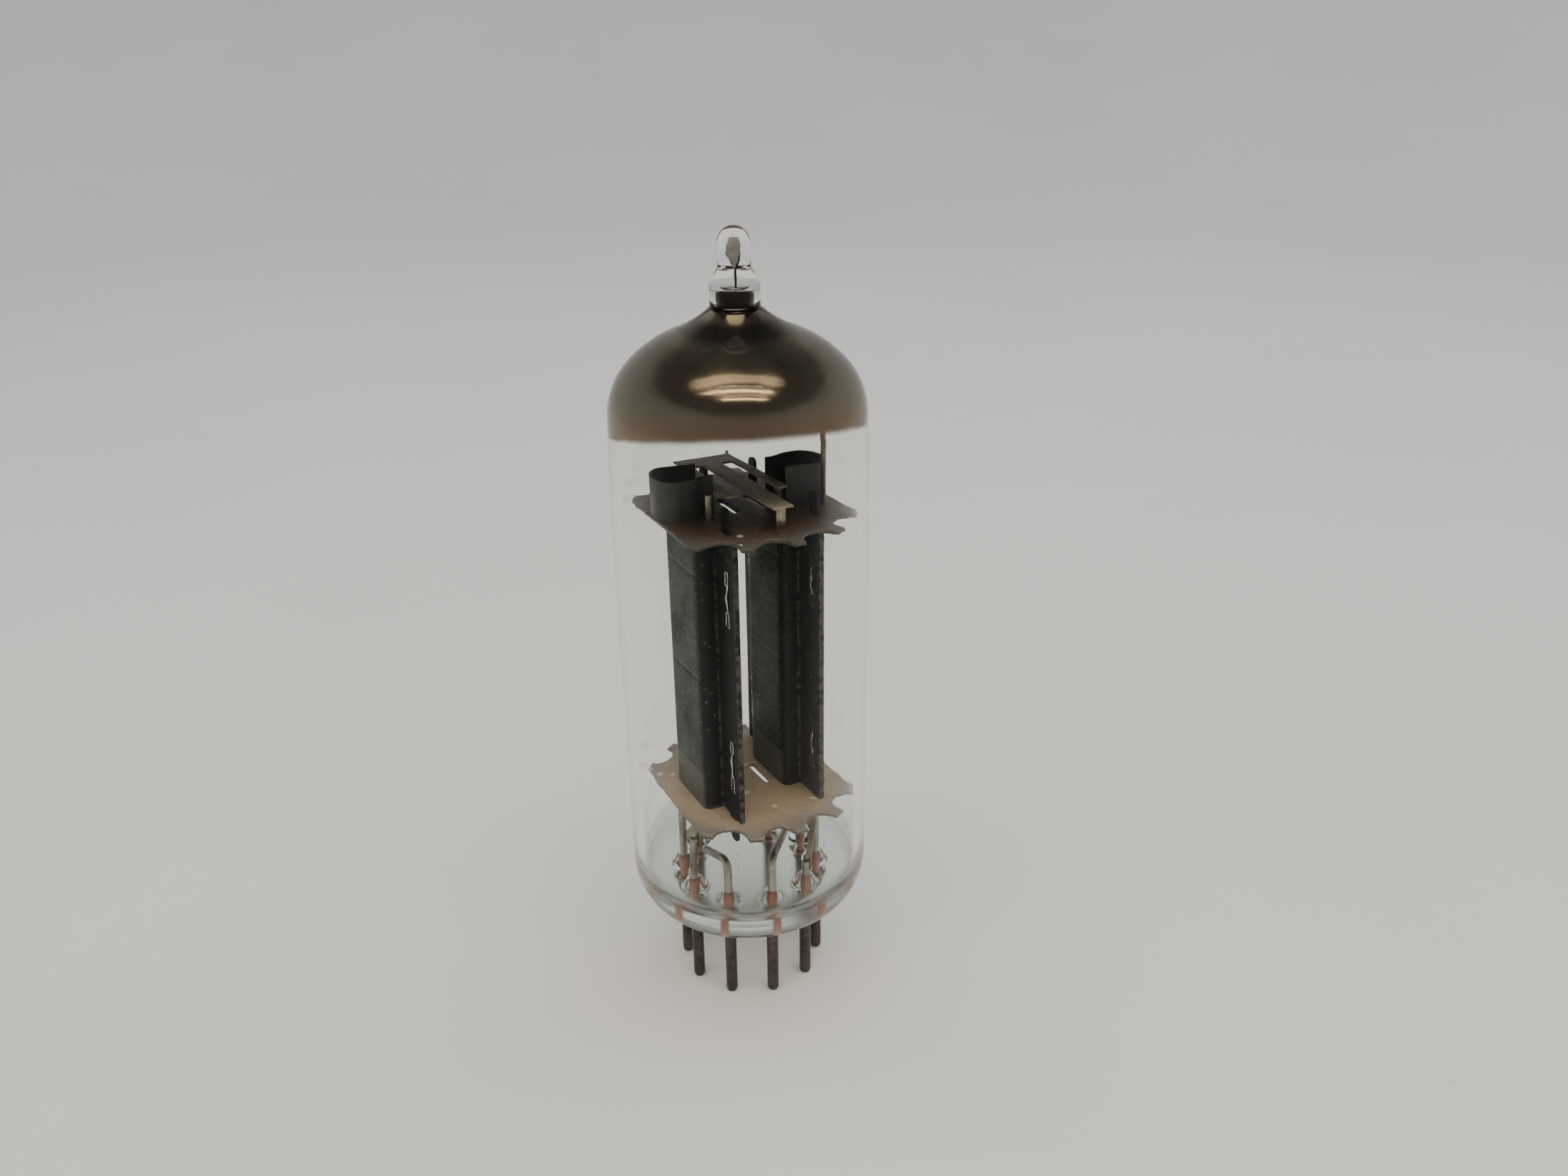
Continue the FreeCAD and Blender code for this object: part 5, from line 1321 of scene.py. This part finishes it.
class TUBE_OT_getter(bpy.types.Operator):
    """Builds the getter's channel ring and the strip that holds it up"""
    bl_idname = "tube.getter"
    bl_label = "Getter ring"

    def execute(self, context):
        low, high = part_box("getter_ring")
        r = sizes().ring_radius
        half = 0.44 * MM
        t = 0.14 * MM
        lip = 0.03 * MM
        base = low.z
        top = high.z
        outer = [(half - lip, base), (half, base + lip), (half, top - lip), (half - t / 2, top),
                 (half - t, top - lip), (half - t, base + t + lip), (half - t - lip, base + t)]
        section = [(-half + lip, base), *outer, *[(-x, z) for x, z in reversed(outer)]]
        line = np.array([(r + x, z) for x, z in section])
        look = metal("Getter iron", (0.30, 0.27, 0.25), (0.12, 0.10, 0.11), (0.3, 0.55), 1.0, 350.0, 0.2)
        piece_of("getter_channel", [revolved(line, 96)], look, ["getter_ring"], sharp=50)
        bevelled("getter_strip", "getter_strip_ribbon", ribbon())
        return {"FINISHED"}


# ---- stage ------------------------------------------------------------------------------------------
class TUBE_OT_stage(bpy.types.Operator):
    """Sets up the pale floor that curves up all round, the soft lights and the camera"""
    bl_idname = "tube.stage"
    bl_label = "Stage"

    def execute(self, context):
        self.floor(context.scene.tube_stage)
        self.lights()
        self.camera(context.scene)
        return {"FINISHED"}

    def floor(self, stage):
        """A round floor whose edge curves up all round, by a quarter circle and an upright wall."""
        reach = stage.floor_reach
        bend = 0.45
        level = np.stack([np.linspace(0, reach - bend, 24), np.zeros(24)], 1)
        curve = arc_points((reach - bend, bend), bend, -90, 0, 24)
        wall = np.stack([np.full(6, reach), np.linspace(bend + 0.05, 1.6, 6)], 1)
        grid = revolved(np.concatenate([level, curve[1:], wall]), 128)
        mesh = mesh_from_grids("floor", [grid])
        mesh.shade_smooth()
        material, look, surface, at = start_material("Pale floor")
        base = colours().floor
        cloud = look.steps(look.noise(at, 9.0, 4.0), 0.3, 0.7)
        tint = look.mix(cloud, shade(base, 0.97), shade(base, 1.02))
        scuffs = look.group(specks_group(), Vector=at, Scale=160.0, Amount=0.05, Size=0.06).outputs["Mask"]
        look.dress(surface, Base_Color=look.lay(tint, scuffs, 0.3, shade(base, 0.7)), Roughness=0.55,
                   Specular_IOR_Level=0.25, Normal=look.bump(look.noise(at, 900.0, 3.0), 0.03, 0.1 * MM))
        mesh.materials.append(material)
        piece = bpy.data.objects.new("floor", mesh)
        bpy.context.scene.collection.objects.link(piece)

    def lights(self):
        """An even grey surround, a broad lamp above and two thin warm strips that the dome mirrors.

        The broad lamp is left out of reflections and of what shows through glass.
        """
        world = bpy.data.worlds.new("Soft tent")
        bpy.context.scene.world = world
        world.use_nodes = True
        background = world.node_tree.nodes["Background"].inputs
        background["Color"].default_value = (0.80, 0.80, 0.79, 1)
        background["Strength"].default_value = 0.155
        warm, warmer, strip_width = (1.0, 0.84, 0.60), (1.0, 0.80, 0.52), 0.0045
        top = self.area("top_light", (0.05, 0.05, 0.75), (-4, 4, 0), (1.1, 0.9), 9.3, (1.0, 0.998, 0.992))
        top.visible_glossy = False
        top.visible_transmission = False
        self.area("strip_light_long", (0.0, -0.085, 0.37), (13, 0, 0), (0.30, strip_width), 0.40, warm)
        self.area("strip_light_short", (0.03, -0.155, 0.34), (25, 0, 0), (0.20, strip_width), 0.20, warmer)

    def area(self, name, at, turn, size, energy, tint):
        lamp = bpy.data.lights.new(name, "AREA")
        lamp.shape = "RECTANGLE"
        lamp.size, lamp.size_y = size
        lamp.energy = energy
        lamp.color = tint
        item = bpy.data.objects.new(name, lamp)
        item.location = at
        item.rotation_euler = [math.radians(a) for a in turn]
        bpy.context.scene.collection.objects.link(item)
        return item

    def camera(self, scene):
        """A camera in front of the tube, looking slightly right and down, with a small tilt."""
        stage = scene.tube_stage
        p, y, t = stage.pitch, stage.yaw, stage.roll
        ahead = row(math.sin(y) * math.cos(p), math.cos(y) * math.cos(p), -math.sin(p))
        right = row(math.cos(y), -math.sin(y), 0)
        up = np.cross(right, ahead)
        x_way = right * math.cos(t) + up * math.sin(t)
        y_way = -right * math.sin(t) + up * math.cos(t)
        data = bpy.data.cameras.new("camera")
        data.sensor_width = 36
        data.lens = stage.lens
        data.clip_start = 0.002
        item = bpy.data.objects.new("camera", data)
        turn = Matrix([x_way, y_way, -ahead]).transposed().to_4x4()
        turn.translation = (0.0, -stage.camera_back, stage.camera_height)
        item.matrix_world = turn
        scene.collection.objects.link(item)
        scene.camera = item


# ---- panel and start --------------------------------------------------------------------------------
OPERATORS = (TUBE_OT_glass, TUBE_OT_mirror, TUBE_OT_pins, TUBE_OT_leads, TUBE_OT_anodes, TUBE_OT_micas,
             TUBE_OT_grids, TUBE_OT_cathodes, TUBE_OT_getter, TUBE_OT_stage)


class TUBE_PT_panel(bpy.types.Panel):
    bl_label = "Vacuum tube"
    bl_idname = "TUBE_PT_panel"
    bl_space_type = "VIEW_3D"
    bl_region_type = "UI"
    bl_category = "Tube"

    def draw(self, context):
        for operator in OPERATORS:
            self.layout.operator(operator.bl_idname)
        for group in (context.scene.tube_sizes, context.scene.tube_colours, context.scene.tube_stage):
            box = self.layout.box()
            for name in group.__annotations__:
                box.prop(group, name)


GROUPS = (("tube_sizes", TUBE_PG_sizes), ("tube_colours", TUBE_PG_colours), ("tube_stage", TUBE_PG_stage))


def register():
    for name, group in GROUPS:
        bpy.utils.register_class(group)
        setattr(bpy.types.Scene, name, PointerProperty(type=group))
    for cls in (*OPERATORS, TUBE_PT_panel):
        bpy.utils.register_class(cls)


def unregister():
    for cls in reversed((*OPERATORS, TUBE_PT_panel)):
        bpy.utils.unregister_class(cls)
    for name, group in reversed(GROUPS):
        delattr(bpy.types.Scene, name)
        bpy.utils.unregister_class(group)


def main():
    register()
    for operator in OPERATORS:
        group, name = operator.bl_idname.split(".")
        getattr(getattr(bpy.ops, group), name)()
    bpy.context.view_layer.update()


if __name__ == "__main__":
    main()
